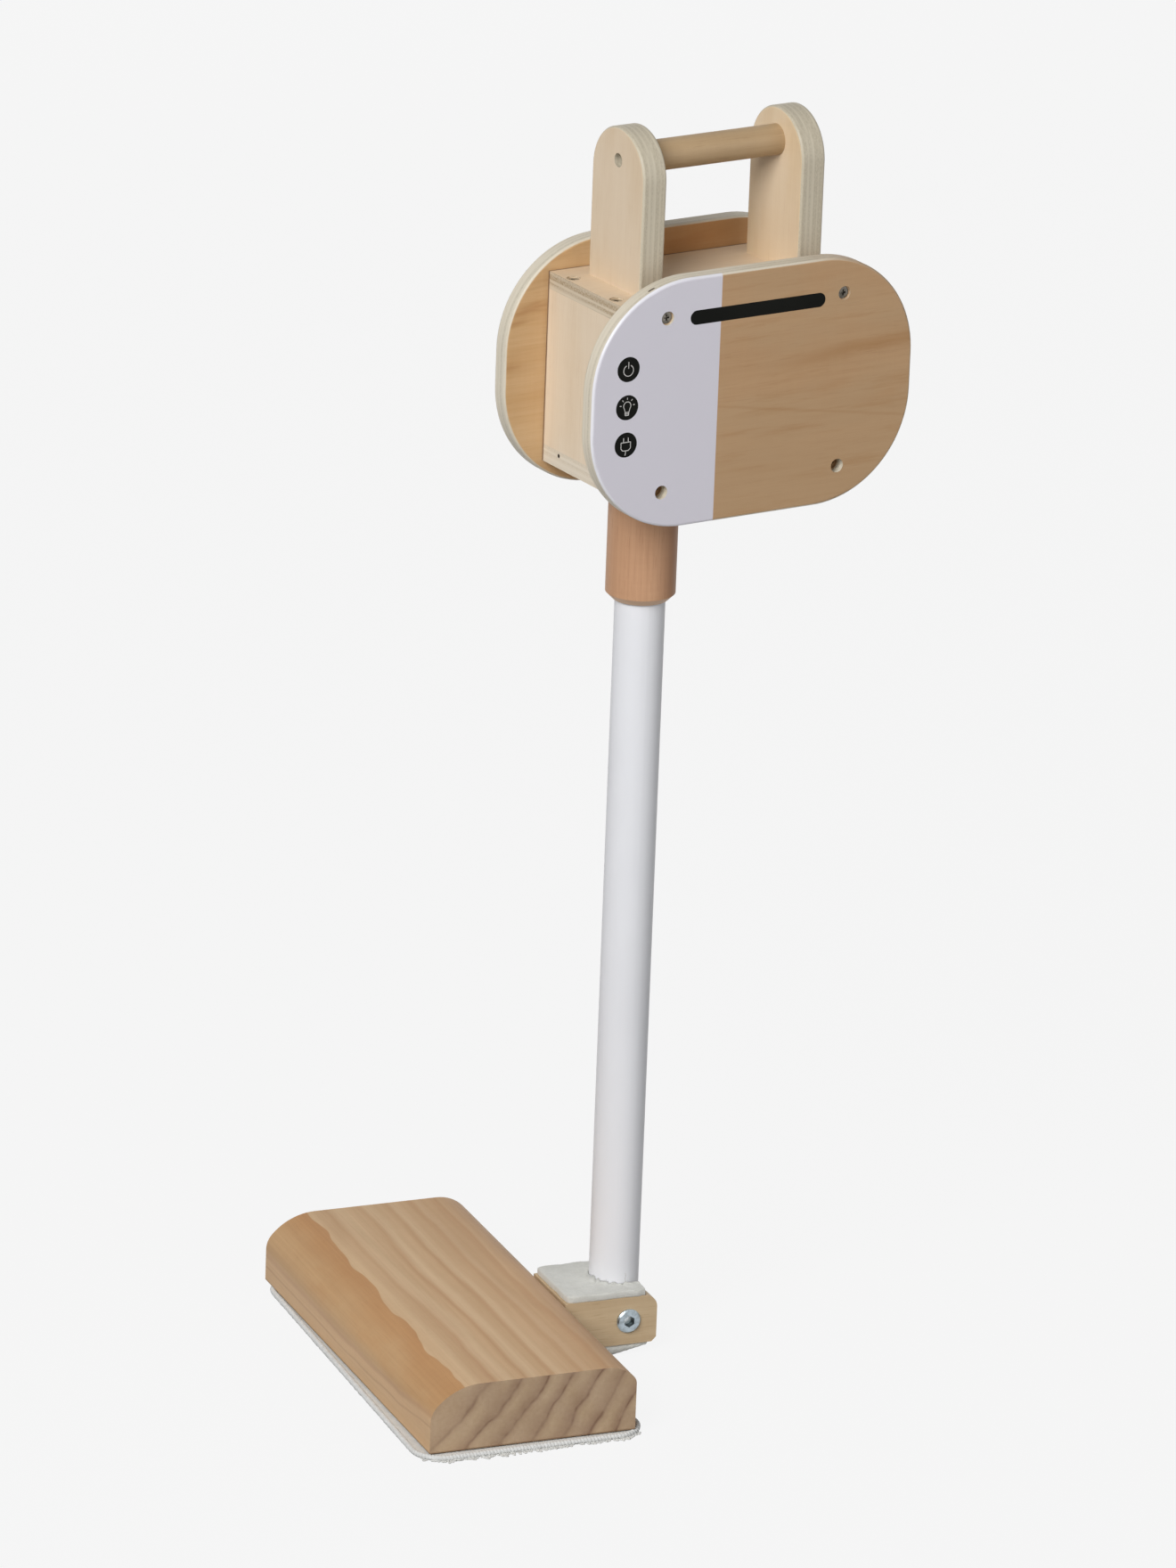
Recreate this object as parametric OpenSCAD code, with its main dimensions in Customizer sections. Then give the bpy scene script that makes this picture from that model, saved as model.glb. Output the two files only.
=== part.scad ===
// Wooden toy vacuum cleaner for pretend play.
// Millimetres, +Z up, the foot leads towards -Y. The origin is the middle of the sole, on the floor.

/* [Foot] */
// Width of the foot, across the way it is pushed
foot_w = 244; // [180:1:320]
// Depth of the foot, front to back
foot_d = 112; // [90:1:150]
// Height of the foot block
foot_h = 35.5; // [30:0.5:50]
// How far the nose falls from the top before its face is upright
nose_drop = 18.6; // [15:0.1:24]
// Small radius low on the nose
nose_r_low = 12; // [8:0.5:14]
// Large radius that runs into the top
nose_r_top = 32; // [26:0.5:40]
// How far the heel falls from the top before its face is upright
heel_drop = 10.5; // [8:0.1:13]
// Small radius low on the heel
heel_r_low = 6; // [4:0.5:8]
// Large radius of the heel that runs into the top
heel_r_top = 21; // [17:0.5:26]

/* [Mop pad] */
// How far the pad stands out past the foot
pad_over = 4; // [1.6:0.1:6]
// Thickness of the terry cloth
pad_t = 2.6; // [1.6:0.1:5]
// Corner radius of the pad
pad_corner_r = 12; // [6:0.5:30]
// Thickness of the overlocked rim
rim_d = 2.6; // [1.6:0.1:2.8]
// Height of the rim's underside over the floor
rim_lift = 0.5; // [0.2:0.1:1.5]
// Thickness of the hook tape
tape_t = 0.8; // [0.6:0.1:2]
// Width of one strip of hook tape
tape_w = 25; // [15:1:40]
// Distance between the middles of the two strips
tape_pitch = 60; // [45:1:75]
// How far the tape stops short of the foot's ends
tape_inset = 12; // [5:1:40]

/* [Pivot block] */
// Width of the block across both cheeks
block_w = 45; // [40:0.5:70]
// Length of the block behind the foot
block_len = 51.5; // [42:0.5:70]
// Height of the block's underside above the foot's
block_lift = 2.8; // [0:0.1:4]
// Height of the block
block_h = 26.2; // [25:0.1:30]
// Distance from the pivot to the block's rear end
pivot_back = 15.9; // [13:0.1:20]
// Height of the pivot above the block's underside
pivot_up = 13.2; // [12:0.1:15]
// Radius of the block's rear top corner
block_corner_r = 7; // [2:0.5:9]
// Chamfer on the block's rear bottom corner
block_chamfer = 2.5; // [1:0.1:5]
// Thickness of the felt on top of the block
felt_t = 3.8; // [1:0.1:4]
// Diameter of the dowels between block and foot
dowel_d = 8; // [6:0.5:10]
// Length of those dowels
dowel_len = 36; // [24:1:40]
// Distance between those dowels
dowel_pitch = 28; // [20:1:32]

/* [Pivot bolt] */
// Outer diameter of the sleeve that the pole turns on
sleeve_d = 8; // [6:0.1:10]
// Diameter of the bolt's shank inside the sleeve
bolt_d = 5; // [4:0.1:5.5]
// How far the bolt's shank holds in the sleeve
bolt_hold = 16; // [10:0.5:20]
// Length of the bolt's shoulder in the left cheek
shoulder_len = 8; // [6:0.5:10]
// Diameter of the flanges on sleeve and bolt
flange_d = 13; // [11:0.1:18]
// Thickness of the flanges
flange_t = 1.6; // [1:0.1:3]
// Width across flats of the hex sockets
hex_flats = 5.5; // [4:0.1:6.5]
// Depth of the hex sockets
hex_depth = 4; // [2:0.1:6]

/* [Pole] */
// Diameter of the pole
pole_d = 26; // [22:0.1:30]
// Length of the pole from the pivot to its upper end
pole_len = 436; // [250:1:700]

/* [Socket] */
// Outer diameter of the turned socket
socket_d = 36; // [32:0.5:50]
// Length of the socket
socket_len = 67.5; // [55:0.5:90]
// Depth of the bore that takes the pole
socket_depth = 47.5; // [25:0.5:52]
// Chamfer on the socket's lower rim
socket_chamfer = 3.5; // [1:0.1:3.8]

/* [Box] */
// Width of the box between the side panels
box_w = 74; // [60:0.5:110]
// Length of the box, front to back
box_len = 142; // [130:0.5:180]
// Height of the box over both boards
box_h = 100; // [80:0.5:125]
// Thickness of the boards of the box
board_t = 9; // [7:0.1:12]
// How far the middle of the box lies behind the pole
box_back = 32.5; // [15:0.5:50]

/* [Side panels] */
// Length of a side panel
panel_len = 190; // [150:0.5:240]
// Height of a side panel
panel_h = 130; // [118:0.5:180]
// Corner radius of a side panel
panel_r = 55.5; // [20:0.5:58]
// Thickness of a side panel
panel_t = 10; // [8:0.1:15]
// Rounding of the edges of panels and uprights
edge_r = 1.6; // [0.5:0.1:3]
// Distance between the front and the rear panel screws
panel_screw_span = 105; // [80:0.5:116]

/* [Handle] */
// Width of an upright
upright_w = 49; // [36:0.5:60]
// Thickness of an upright
upright_t = 14; // [13:0.1:18]
// Clear gap between the uprights
grip_gap = 80; // [65:0.5:100]
// Height of the handle bar's axis above the box
bar_rise = 65.5; // [45:0.5:90]
// Diameter of the handle bar
bar_d = 16; // [12:0.1:20]
// How deep the bar sits in each upright
bar_seat = 4; // [2:0.1:5]
// How far the uprights reach above the bar's axis
crown = 17; // [14:0.5:24]
// How far the handle stands in front of the box's middle
handle_fore = 1.5; // [0:0.1:4]

/* [Screws] */
// Shank diameter of the wood screws
screw_d = 3.5; // [3:0.1:4]
// Head diameter of the wood screws
screw_head_d = 6.4; // [5.5:0.1:7]
// How far the screws hold in the second piece
screw_hold = 18; // [12:0.5:20]
// How far the upper panel screws lie below the surface
sink_upper = 1.5; // [0.5:0.1:3]
// How far the lower panel screws and the handle screws lie below the surface
sink_lower = 5.5; // [2:0.1:6]
// How far the box screws lie below the surface
sink_box = 0.8; // [0.3:0.1:2]
// Distance between two screws side by side in a board
board_screw_pitch = 41; // [30:0.5:48]
// Distance between two screws side by side in an upright or the socket
inner_screw_pitch = 18; // [14:0.5:20]

/* [Fits] */
// Radial clearance of the two turning fits
run_gap = 0.05; // [0.02:0.01:0.1]
// Clearance between the pole and the slot of the block
slot_gap = 0.4; // [0.3:0.05:1]
// Clearance round screws and dowels in their holes
hole_gap = 0.05; // [0.02:0.01:0.2]
// Room round a screw head in its counterbore
head_gap = 0.4; // [0.2:0.05:0.8]
// Gap between the glide felt and the mop pad
felt_gap = 0.3; // [0.2:0.1:2]

/* [Pose] */
// How far the head is turned on the pole
head_turn = 10; // [-45:0.5:45]

/* [Hidden] */
$fn = 96;
// Extra length of a cut past the surface that it opens
past = 1;
// Height of the foot's underside over the floor
foot_z = pad_t + tape_t;
// The pivot's place behind the origin, and the heights of the block's underside and the pivot
pole_y = foot_d / 2 + block_len - pivot_back;
block_z = foot_z + block_lift;
pivot_z = block_z + pivot_up;
// Height of the pole's upper end and of the socket's lower rim
pole_top = pivot_z + pole_len;
socket_z = pole_top - socket_depth;
// Height of the box's underside
box_z = socket_z + socket_len;
// Chamfer on the pole's upper end
pole_chamfer = 1;
// Length of a screw's point, and the cone of its head
screw_tip = 3;
screw_cone = (screw_head_d - screw_d) / 2;
// Cross recess of a screw: width, length and depth
cross_w = 0.9;
cross_l = 3.2;
cross_t = 1.3;
// Distance of the box screws from the box's middle
board_screw_y = box_len / 2 - board_t / 2;
panel_screw_z = box_h / 2 - board_t / 2;
upright_y = grip_gap / 2 + upright_t / 2;
// Height above the box of the middle of an upright's round top
crown_z = bar_rise + crown - upright_w / 2;

// Rectangle about the origin with round corners
module rounded_rect(size, r) {
    square([size[0] - 2 * r, size[1]], center = true);
    square([size[0], size[1] - 2 * r], center = true);
    for (x = [-1, 1], y = [-1, 1])
        translate([x * (size[0] / 2 - r), y * (size[1] / 2 - r)])
            circle(r);
}

// Disc about Z with its rim rounded on both faces
module eased_disc(r, t, e) {
    rotate_extrude()
        intersection() {
            rounded_rect([2 * r, t], e);
            translate([0, -t])
                square([r + past, 2 * t]);
        }
}

// Plate in the XY plane with round corners and rounded edges
module eased_plate(size, r, t, e) {
    run = [size[0] - 2 * r, size[1] - 2 * r];
    for (x = [-1, 1], y = [-1, 1])
        translate([x * run[0] / 2, y * run[1] / 2, 0])
            eased_disc(r, t, e);
    rotate([90, 0, 90])
        linear_extrude(run[0], center = true)
            rounded_rect([size[1], t], e);
    rotate([90, 0, 0])
        linear_extrude(run[1], center = true)
            rounded_rect([size[0], t], e);
}

// How far along the top an eased edge reaches
function eased_reach(r_low, r_top, drop) =
    r_low + (r_top - r_low) * sin(acos((r_top - drop) / (r_top - r_low)));

// One edge of a profile from the ground up to height h, its face at X = 0. The face is upright to
// within drop of the top, and then eases over by a small arc and a large arc that are tangent.
module eased_edge(r_low, r_top, drop, h) {
    turn = acos((r_top - drop) / (r_top - r_low));
    reach = eased_reach(r_low, r_top, drop);
    far = 2 * r_top;
    square([reach, h - drop]);
    translate([r_low, h - drop])
        circle(r_low);
    translate([reach, h - r_top])
        intersection() {
            circle(r_top);
            polygon([[0, 0], [-far * sin(turn), far * cos(turn)], [0, far]]);
        }
}

// Side profile of the foot: X is the way back from the nose, Y is up
module foot_profile() {
    nose = eased_reach(nose_r_low, nose_r_top, nose_drop);
    heel = eased_reach(heel_r_low, heel_r_top, heel_drop);
    square([foot_d, foot_h - max(nose_drop, heel_drop)]);
    eased_edge(nose_r_low, nose_r_top, nose_drop, foot_h);
    translate([nose, 0])
        square([foot_d - nose - heel, foot_h]);
    translate([foot_d, 0])
        mirror([1, 0])
            eased_edge(heel_r_low, heel_r_top, heel_drop, foot_h);
}

// Countersunk wood screw along -Z with the flat of its head at the origin
module wood_screw(len) {
    difference() {
        rotate_extrude()
            polygon([
                [0, 0], [screw_head_d / 2, 0], [screw_d / 2, -screw_cone],
                [screw_d / 2, screw_tip - len], [screw_d / 10, -len], [0, -len]
            ]);
        for (a = [0, 90])
            rotate([0, 0, a])
                translate([-cross_l / 2, -cross_w / 2, -cross_t])
                    cube([cross_l, cross_w, cross_t + past]);
    }
}

// Hole for that screw, with the counterbore that lets its head lie below the surface
module screw_hole(len, sink) {
    rotate_extrude()
        polygon([
            [0, sink + past], [screw_head_d / 2 + head_gap, sink + past],
            [screw_head_d / 2 + head_gap, 0], [screw_head_d / 2 + hole_gap, 0],
            [screw_d / 2 + hole_gap, -screw_cone], [screw_d / 2 + hole_gap, -len - hole_gap],
            [0, -len - hole_gap]
        ]);
}

// Place of everything on the head: at the pole, turned with the head
module on_head() {
    translate([0, pole_y, 0])
        rotate([0, 0, head_turn])
            children();
}

// Place at the middle of the box
module on_box() {
    on_head()
        translate([0, box_back, box_z + box_h / 2])
            children();
}

// The two dowel places between block and foot, pointing back
module at_dowels() {
    for (x = [-1, 1])
        translate([x * dowel_pitch / 2, foot_d / 2, block_z + block_h / 2])
            rotate([-90, 0, 0])
                children();
}

// The panel screws of one side (1 right, -1 left), upper or lower row, heads outward
module at_panel_screws(side, row, sink) {
    for (y = [-1, 1])
        translate([
            side * (box_w / 2 + panel_t - sink), y * panel_screw_span / 2, row * panel_screw_z
        ])
            rotate([0, side * 90, 0])
                children();
}

// The screws of the top (1) or bottom (-1) board into the front and rear boards
module at_board_screws(level) {
    for (x = [-1, 1], y = [-1, 1])
        translate([
            x * board_screw_pitch / 2, y * board_screw_y, level * (box_h / 2 - sink_box)
        ])
            rotate([level > 0 ? 0 : 180, 0, 0])
                children();
}

// The screws through the top board into the uprights, heads inside the box
module at_upright_screws() {
    for (x = [-1, 1], y = [-1, 1])
        translate([
            x * inner_screw_pitch / 2, y * upright_y - handle_fore, box_h / 2 - board_t + sink_box
        ])
            rotate([180, 0, 0])
                children();
}

// The screws through the bottom board into the socket, heads inside the box
module at_socket_screws() {
    for (x = [-1, 1])
        translate([x * inner_screw_pitch / 2, 0, box_z + board_t - sink_box])
            children();
}

// The screws through the uprights into the ends of the bar, heads outward
module at_handle_screws() {
    for (y = [-1, 1])
        translate([
            0, y * (grip_gap / 2 + upright_t - sink_lower) - handle_fore, box_h / 2 + bar_rise
        ])
            rotate([-y * 90, 0, 0])
                children();
}

// Screw lengths, from what they pass through and hold in
panel_screw_len_upper = panel_t - sink_upper + screw_hold;
panel_screw_len_lower = panel_t - sink_lower + screw_hold;
board_screw_len = board_t - sink_box + screw_hold;
handle_screw_len = upright_t - bar_seat - sink_lower + screw_hold;
socket_screw_len = board_t - sink_box + socket_len - socket_depth - screw_tip;

module foot_block() {
    color("burlywood")
        difference() {
            translate([-foot_w / 2, -foot_d / 2, foot_z])
                rotate([90, 0, 90])
                    linear_extrude(foot_w)
                        foot_profile();
            at_dowels()
                cylinder(d = dowel_d + 2 * hole_gap, h = dowel_len + 2 * hole_gap, center = true);
        }
}

module hook_tape() {
    color("gainsboro")
        for (y = [-1, 1])
            translate([tape_inset - foot_w / 2, y * tape_pitch / 2 - tape_w / 2, pad_t])
                cube([foot_w - 2 * tape_inset, tape_w, tape_t]);
}

module mop_pad() {
    rim = [foot_w + 2 * pad_over - rim_d, foot_d + 2 * pad_over - rim_d];
    r = pad_corner_r - rim_d / 2;
    run = [rim[0] - 2 * r, rim[1] - 2 * r];
    inset = rim_d / 8;
    color("white") {
        linear_extrude(pad_t)
            rounded_rect([rim[0] - 2 * inset, rim[1] - 2 * inset], r - inset);
        translate([0, 0, rim_lift + rim_d / 2])
            for (end = [0, 1])
                rotate([0, 0, 180 * end]) {
                    translate([run[0] / 2, run[1] / 2, 0])
                        rotate_extrude(angle = 90)
                            translate([r, 0])
                                circle(d = rim_d);
                    translate([-run[0] / 2, run[1] / 2, 0])
                        rotate([0, 0, 90])
                            rotate_extrude(angle = 90)
                                translate([r, 0])
                                    circle(d = rim_d);
                    translate([rim[0] / 2, 0, 0])
                        rotate([90, 0, 0])
                            cylinder(d = rim_d, h = run[1], center = true);
                    translate([0, rim[1] / 2, 0])
                        rotate([0, 90, 0])
                            cylinder(d = rim_d, h = run[0], center = true);
                }
    }
}

// Side profile of the pivot block: X is the way back from the foot, Y is up
module block_profile() {
    difference() {
        union() {
            square([block_len, block_h - block_corner_r]);
            square([block_len - block_corner_r, block_h]);
            translate([block_len - block_corner_r, block_h - block_corner_r])
                circle(block_corner_r);
        }
        translate([block_len, 0])
            rotate(45)
                square(block_chamfer * sqrt(2), center = true);
    }
}

// Plan of the slot round the pole, open to the rear
module slot_plan(gap) {
    circle(d = pole_d + 2 * gap);
    translate([-pole_d / 2 - gap, 0])
        square([pole_d + 2 * gap, pivot_back + past]);
}

module pivot_block() {
    color("wheat")
        difference() {
            translate([-block_w / 2, foot_d / 2, block_z])
                rotate([90, 0, 90])
                    linear_extrude(block_w)
                        block_profile();
            translate([0, pole_y, block_z - past])
                linear_extrude(block_h + 2 * past)
                    slot_plan(slot_gap);
            translate([0, pole_y, pivot_z])
                rotate([0, 90, 0])
                    cylinder(d = sleeve_d + 2 * hole_gap, h = block_w + 2 * past, center = true);
            at_dowels()
                cylinder(d = dowel_d + 2 * hole_gap, h = dowel_len + 2 * hole_gap, center = true);
        }
}

module block_dowels() {
    color("tan")
        at_dowels()
            cylinder(d = dowel_d, h = dowel_len, center = true);
}

module felt_top() {
    color("whitesmoke")
        translate([0, 0, block_z + block_h])
            linear_extrude(felt_t)
                difference() {
                    translate([-block_w / 2, foot_d / 2])
                        square([block_w, block_len - block_corner_r]);
                    translate([0, pole_y])
                        slot_plan(slot_gap);
                }
}

module felt_glide() {
    color("whitesmoke")
        translate([-block_w / 2, foot_d / 2 + pad_over + felt_gap, 0])
            cube([block_w, block_len - block_chamfer - pad_over - felt_gap, block_z]);
}

// Place of the pivot, with Z along the bolt towards the right
module on_pivot() {
    translate([0, pole_y, pivot_z])
        rotate([0, 90, 0])
            children();
}

// Flange with an eased outer edge, its seat at the origin and its face towards +Z
module flange() {
    ease = flange_t / 2;
    rotate_extrude()
        polygon([
            [0, 0], [flange_d / 2, 0], [flange_d / 2, flange_t - ease],
            [flange_d / 2 - ease, flange_t], [0, flange_t]
        ]);
}

// Hex socket cut into a flange from outside
module hex_cut() {
    translate([0, 0, flange_t - hex_depth])
        cylinder(d = hex_flats / cos(30), h = hex_depth + past, $fn = 6);
}

module pivot_sleeve() {
    sleeve_end = shoulder_len - block_w / 2;
    color("silver")
        on_pivot()
            difference() {
                union() {
                    translate([0, 0, block_w / 2])
                        flange();
                    translate([0, 0, sleeve_end])
                        cylinder(d = sleeve_d, h = block_w - shoulder_len);
                }
                translate([0, 0, block_w / 2])
                    hex_cut();
                translate([0, 0, sleeve_end - past])
                    cylinder(d = bolt_d + 2 * hole_gap, h = bolt_hold + past + hole_gap);
            }
}

module pivot_bolt() {
    color("silver")
        on_pivot()
            mirror([0, 0, 1])
                translate([0, 0, block_w / 2])
                    difference() {
                        union() {
                            flange();
                            translate([0, 0, -shoulder_len])
                                cylinder(d = sleeve_d, h = shoulder_len);
                            translate([0, 0, -shoulder_len - bolt_hold])
                                cylinder(d = bolt_d, h = bolt_hold);
                        }
                        hex_cut();
                    }
}

module pole() {
    color("white")
        difference() {
            translate([0, pole_y, pivot_z])
                rotate_extrude() {
                    intersection() {
                        circle(d = pole_d);
                        translate([0, -pole_d])
                            square([pole_d, pole_d]);
                    }
                    polygon([
                        [0, 0], [pole_d / 2, 0], [pole_d / 2, pole_len - pole_chamfer],
                        [pole_d / 2 - pole_chamfer, pole_len], [0, pole_len]
                    ]);
                }
            on_pivot()
                cylinder(d = sleeve_d + 2 * run_gap, h = 2 * pole_d, center = true);
        }
}

module pole_socket() {
    bore_r = pole_d / 2 + run_gap;
    color("rosybrown")
        difference() {
            on_head()
                translate([0, 0, socket_z])
                    rotate_extrude()
                        polygon([
                            [bore_r, 0], [socket_d / 2 - socket_chamfer, 0], [socket_d / 2, socket_chamfer],
                            [socket_d / 2, socket_len], [0, socket_len], [0, socket_depth],
                            [bore_r, socket_depth]
                        ]);
            on_head()
                at_socket_screws()
                    screw_hole(socket_screw_len, sink_box);
        }
}

module socket_screws() {
    color("silver")
        on_head()
            at_socket_screws()
                wood_screw(socket_screw_len);
}

// Plain board of the box, level 1 at the top and -1 at the bottom
module level_board(level) {
    translate([0, 0, level * (box_h / 2 - board_t / 2)])
        cube([box_w, box_len, board_t], center = true);
}

// Holes for the screws of both panels
module panel_screw_holes() {
    for (side = [-1, 1]) {
        at_panel_screws(side, 1, sink_upper)
            screw_hole(panel_screw_len_upper, sink_upper);
        at_panel_screws(side, -1, sink_lower)
            screw_hole(panel_screw_len_lower, sink_lower);
    }
}

module bottom_board() {
    color("wheat")
        difference() {
            on_box()
                level_board(-1);
            on_box()
                panel_screw_holes();
            on_box()
                at_board_screws(-1)
                    screw_hole(board_screw_len, sink_box);
            on_head()
                at_socket_screws()
                    screw_hole(socket_screw_len, sink_box);
        }
}

module top_board() {
    color("wheat")
        on_box()
            difference() {
                level_board(1);
                panel_screw_holes();
                at_board_screws(1)
                    screw_hole(board_screw_len, sink_box);
                at_upright_screws()
                    screw_hole(board_screw_len, sink_box);
            }
}

// Board that closes the box, end -1 at the front and 1 at the rear
module end_board(end) {
    color("wheat")
        on_box()
            difference() {
                translate([0, end * board_screw_y, 0])
                    cube([box_w, board_t, box_h - 2 * board_t], center = true);
                for (level = [-1, 1])
                    at_board_screws(level)
                        screw_hole(board_screw_len, sink_box);
            }
}

module front_board() {
    end_board(-1);
}

module rear_board() {
    end_board(1);
}

// Side panel, side 1 at the right and -1 at the left
module side_panel(side) {
    color("burlywood")
        on_box()
            difference() {
                translate([side * (box_w / 2 + panel_t / 2), 0, 0])
                    rotate([90, 0, 90])
                        eased_plate([panel_len, panel_h], panel_r, panel_t, edge_r);
                panel_screw_holes();
            }
}

module right_panel() {
    side_panel(1);
}

module left_panel() {
    side_panel(-1);
}

// The four screws of one panel
module panel_screws(side) {
    color("silver")
        on_box() {
            at_panel_screws(side, 1, sink_upper)
                wood_screw(panel_screw_len_upper);
            at_panel_screws(side, -1, sink_lower)
                wood_screw(panel_screw_len_lower);
        }
}

module right_panel_screws() {
    panel_screws(1);
}

module left_panel_screws() {
    panel_screws(-1);
}

module top_board_screws() {
    color("silver")
        on_box()
            at_board_screws(1)
                wood_screw(board_screw_len);
}

module bottom_board_screws() {
    color("silver")
        on_box()
            at_board_screws(-1)
                wood_screw(board_screw_len);
}

// Upright of the handle, end -1 at the front and 1 at the rear
module upright(end) {
    color("wheat")
        on_box()
            difference() {
                translate([0, end * upright_y - handle_fore, box_h / 2])
                    rotate([90, 0, 0]) {
                        translate([0, crown_z, 0])
                            eased_disc(upright_w / 2, upright_t, edge_r);
                        rotate([-90, 0, 0])
                            linear_extrude(crown_z)
                                rounded_rect([upright_w, upright_t], edge_r);
                    }
                translate([0, -handle_fore, box_h / 2 + bar_rise])
                    rotate([90, 0, 0])
                        cylinder(d = bar_d + 2 * hole_gap, h = grip_gap + 2 * bar_seat, center = true);
                at_handle_screws()
                    screw_hole(handle_screw_len, sink_lower);
                at_upright_screws()
                    screw_hole(board_screw_len, sink_box);
            }
}

module front_upright() {
    upright(-1);
}

module rear_upright() {
    upright(1);
}

module upright_screws() {
    color("silver")
        on_box()
            at_upright_screws()
                wood_screw(board_screw_len);
}

module handle_bar() {
    color("burlywood")
        on_box()
            difference() {
                translate([0, -handle_fore, box_h / 2 + bar_rise])
                    rotate([90, 0, 0])
                        cylinder(d = bar_d, h = grip_gap + 2 * bar_seat, center = true);
                at_handle_screws()
                    screw_hole(handle_screw_len, sink_lower);
            }
}

module handle_screws() {
    color("silver")
        on_box()
            at_handle_screws()
                wood_screw(handle_screw_len);
}

foot_block();
hook_tape();
mop_pad();
pivot_block();
block_dowels();
felt_top();
felt_glide();
pivot_sleeve();
pivot_bolt();
pole();
pole_socket();
socket_screws();
bottom_board();
top_board();
front_board();
rear_board();
right_panel();
left_panel();
right_panel_screws();
left_panel_screws();
top_board_screws();
bottom_board_screws();
front_upright();
rear_upright();
upright_screws();
handle_bar();
handle_screws();
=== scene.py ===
# %% [markdown]
# A wooden toy vacuum cleaner, dressed in Blender over its CAD frame. The CAD pieces come in at their true
# size and place, so this lesson is about finishes, about the soft pieces that CAD can't show, and about the
# prints. Lengths are metres, or millimetres times MM.

# %% Load the frame
import bmesh
import bpy
import numpy as np
from math import cos, pi, radians, sin
from mathutils import Matrix, Vector


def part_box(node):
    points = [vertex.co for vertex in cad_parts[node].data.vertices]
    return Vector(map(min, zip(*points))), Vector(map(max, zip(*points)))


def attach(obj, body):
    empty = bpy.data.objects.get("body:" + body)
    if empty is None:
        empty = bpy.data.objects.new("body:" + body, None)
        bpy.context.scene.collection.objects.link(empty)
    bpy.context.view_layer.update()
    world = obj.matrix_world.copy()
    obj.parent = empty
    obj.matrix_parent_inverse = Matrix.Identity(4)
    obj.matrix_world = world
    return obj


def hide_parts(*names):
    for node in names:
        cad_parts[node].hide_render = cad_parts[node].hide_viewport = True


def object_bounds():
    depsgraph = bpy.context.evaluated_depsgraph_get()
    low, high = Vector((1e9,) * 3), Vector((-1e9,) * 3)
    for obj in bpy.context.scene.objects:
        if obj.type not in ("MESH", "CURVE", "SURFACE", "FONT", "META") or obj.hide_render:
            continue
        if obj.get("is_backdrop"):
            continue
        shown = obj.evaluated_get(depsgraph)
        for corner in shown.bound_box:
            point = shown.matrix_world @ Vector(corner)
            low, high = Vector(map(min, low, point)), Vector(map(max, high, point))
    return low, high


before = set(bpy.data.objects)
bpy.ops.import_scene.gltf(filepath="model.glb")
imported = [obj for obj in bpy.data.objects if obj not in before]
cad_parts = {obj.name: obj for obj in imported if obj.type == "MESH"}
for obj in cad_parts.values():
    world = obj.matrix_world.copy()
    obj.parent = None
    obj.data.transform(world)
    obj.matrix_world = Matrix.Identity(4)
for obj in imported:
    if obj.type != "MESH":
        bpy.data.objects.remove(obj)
cad_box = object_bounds()
MM = 0.001


def mm(*lengths):
    """Lengths in millimetres, made metres."""
    return [length * MM for length in lengths]


# %% [markdown]
# The body is pushed on to the pole a little askew, so its boards lie ten degrees off the floor head. One
# helper turns a place on the body into the shared frame.

# %% The body's own axes
POLE_Y, POLE_R, PIVOT_Z = mm(91.6, 13, 19.4)
TURN = radians(10)
BODY_X = np.array([cos(TURN), sin(TURN), 0])
BODY_Y = np.array([-sin(TURN), cos(TURN), 0])
BODY_Z = np.array([0.0, 0.0, 1.0])
POLE_FOOT = np.array([0, POLE_Y, 0])
PANEL_OUT, PANEL_BACK, PANEL_HIGH, PANEL_FACE = mm(42, 32.5, 525.4, 47)


def on_body(side, back, height):
    """Point on the body: pole foot + side, back and height along the body's own axes, as whole arrays."""
    side, back, height = np.broadcast_arrays(side, back, height)
    return (POLE_FOOT + side[..., None] * BODY_X + back[..., None] * BODY_Y
            + height[..., None] * BODY_Z)


print("panel middle:", on_body(0, PANEL_BACK, PANEL_HIGH).round(4))

# %% [markdown]
# The camera is a long lens far away, placed by matching the corners of the panels, the uprights and the
# foot. A camera looks along its own -Z, so the columns of its matrix are its right, its up and the way back
# to the lens.

# %% Camera
AZIMUTH, ELEVATION, ROLL = radians(67.648), radians(19.321), radians(2.157)
AIM, DISTANCE = Vector((0, *mm(66.892, 309.425))), 5152.5 * MM
FOCAL_PIXELS, IMAGE_HEIGHT, SENSOR, FAR_CLIP = 11329, 1760, 36, 60


def direction(azimuth, elevation):
    """Unit vector out from the toy: azimuth from its front to its right, elevation up from the floor."""
    return Vector((sin(azimuth) * cos(elevation), -cos(azimuth) * cos(elevation), sin(elevation)))


back = direction(AZIMUTH, ELEVATION)
level = Vector((cos(AZIMUTH), sin(AZIMUTH), 0))
rise = back.cross(level)
right = level * cos(ROLL) + rise * sin(ROLL)
up = rise * cos(ROLL) - level * sin(ROLL)
lens = bpy.data.cameras.new("catalogue_lens")
lens.sensor_fit = "VERTICAL"
lens.sensor_height = SENSOR
lens.lens = FOCAL_PIXELS / IMAGE_HEIGHT * SENSOR
lens.clip_end = FAR_CLIP
camera = bpy.data.objects.new("catalogue_camera", lens)
seat = AIM + back * DISTANCE
camera.matrix_world = Matrix((right, up, back)).transposed().to_4x4()
camera.matrix_world.translation = seat
bpy.context.collection.objects.link(camera)
bpy.context.scene.camera = camera
print("lens", round(lens.lens, 2), "mm at", tuple(round(c, 3) for c in seat))

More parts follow.
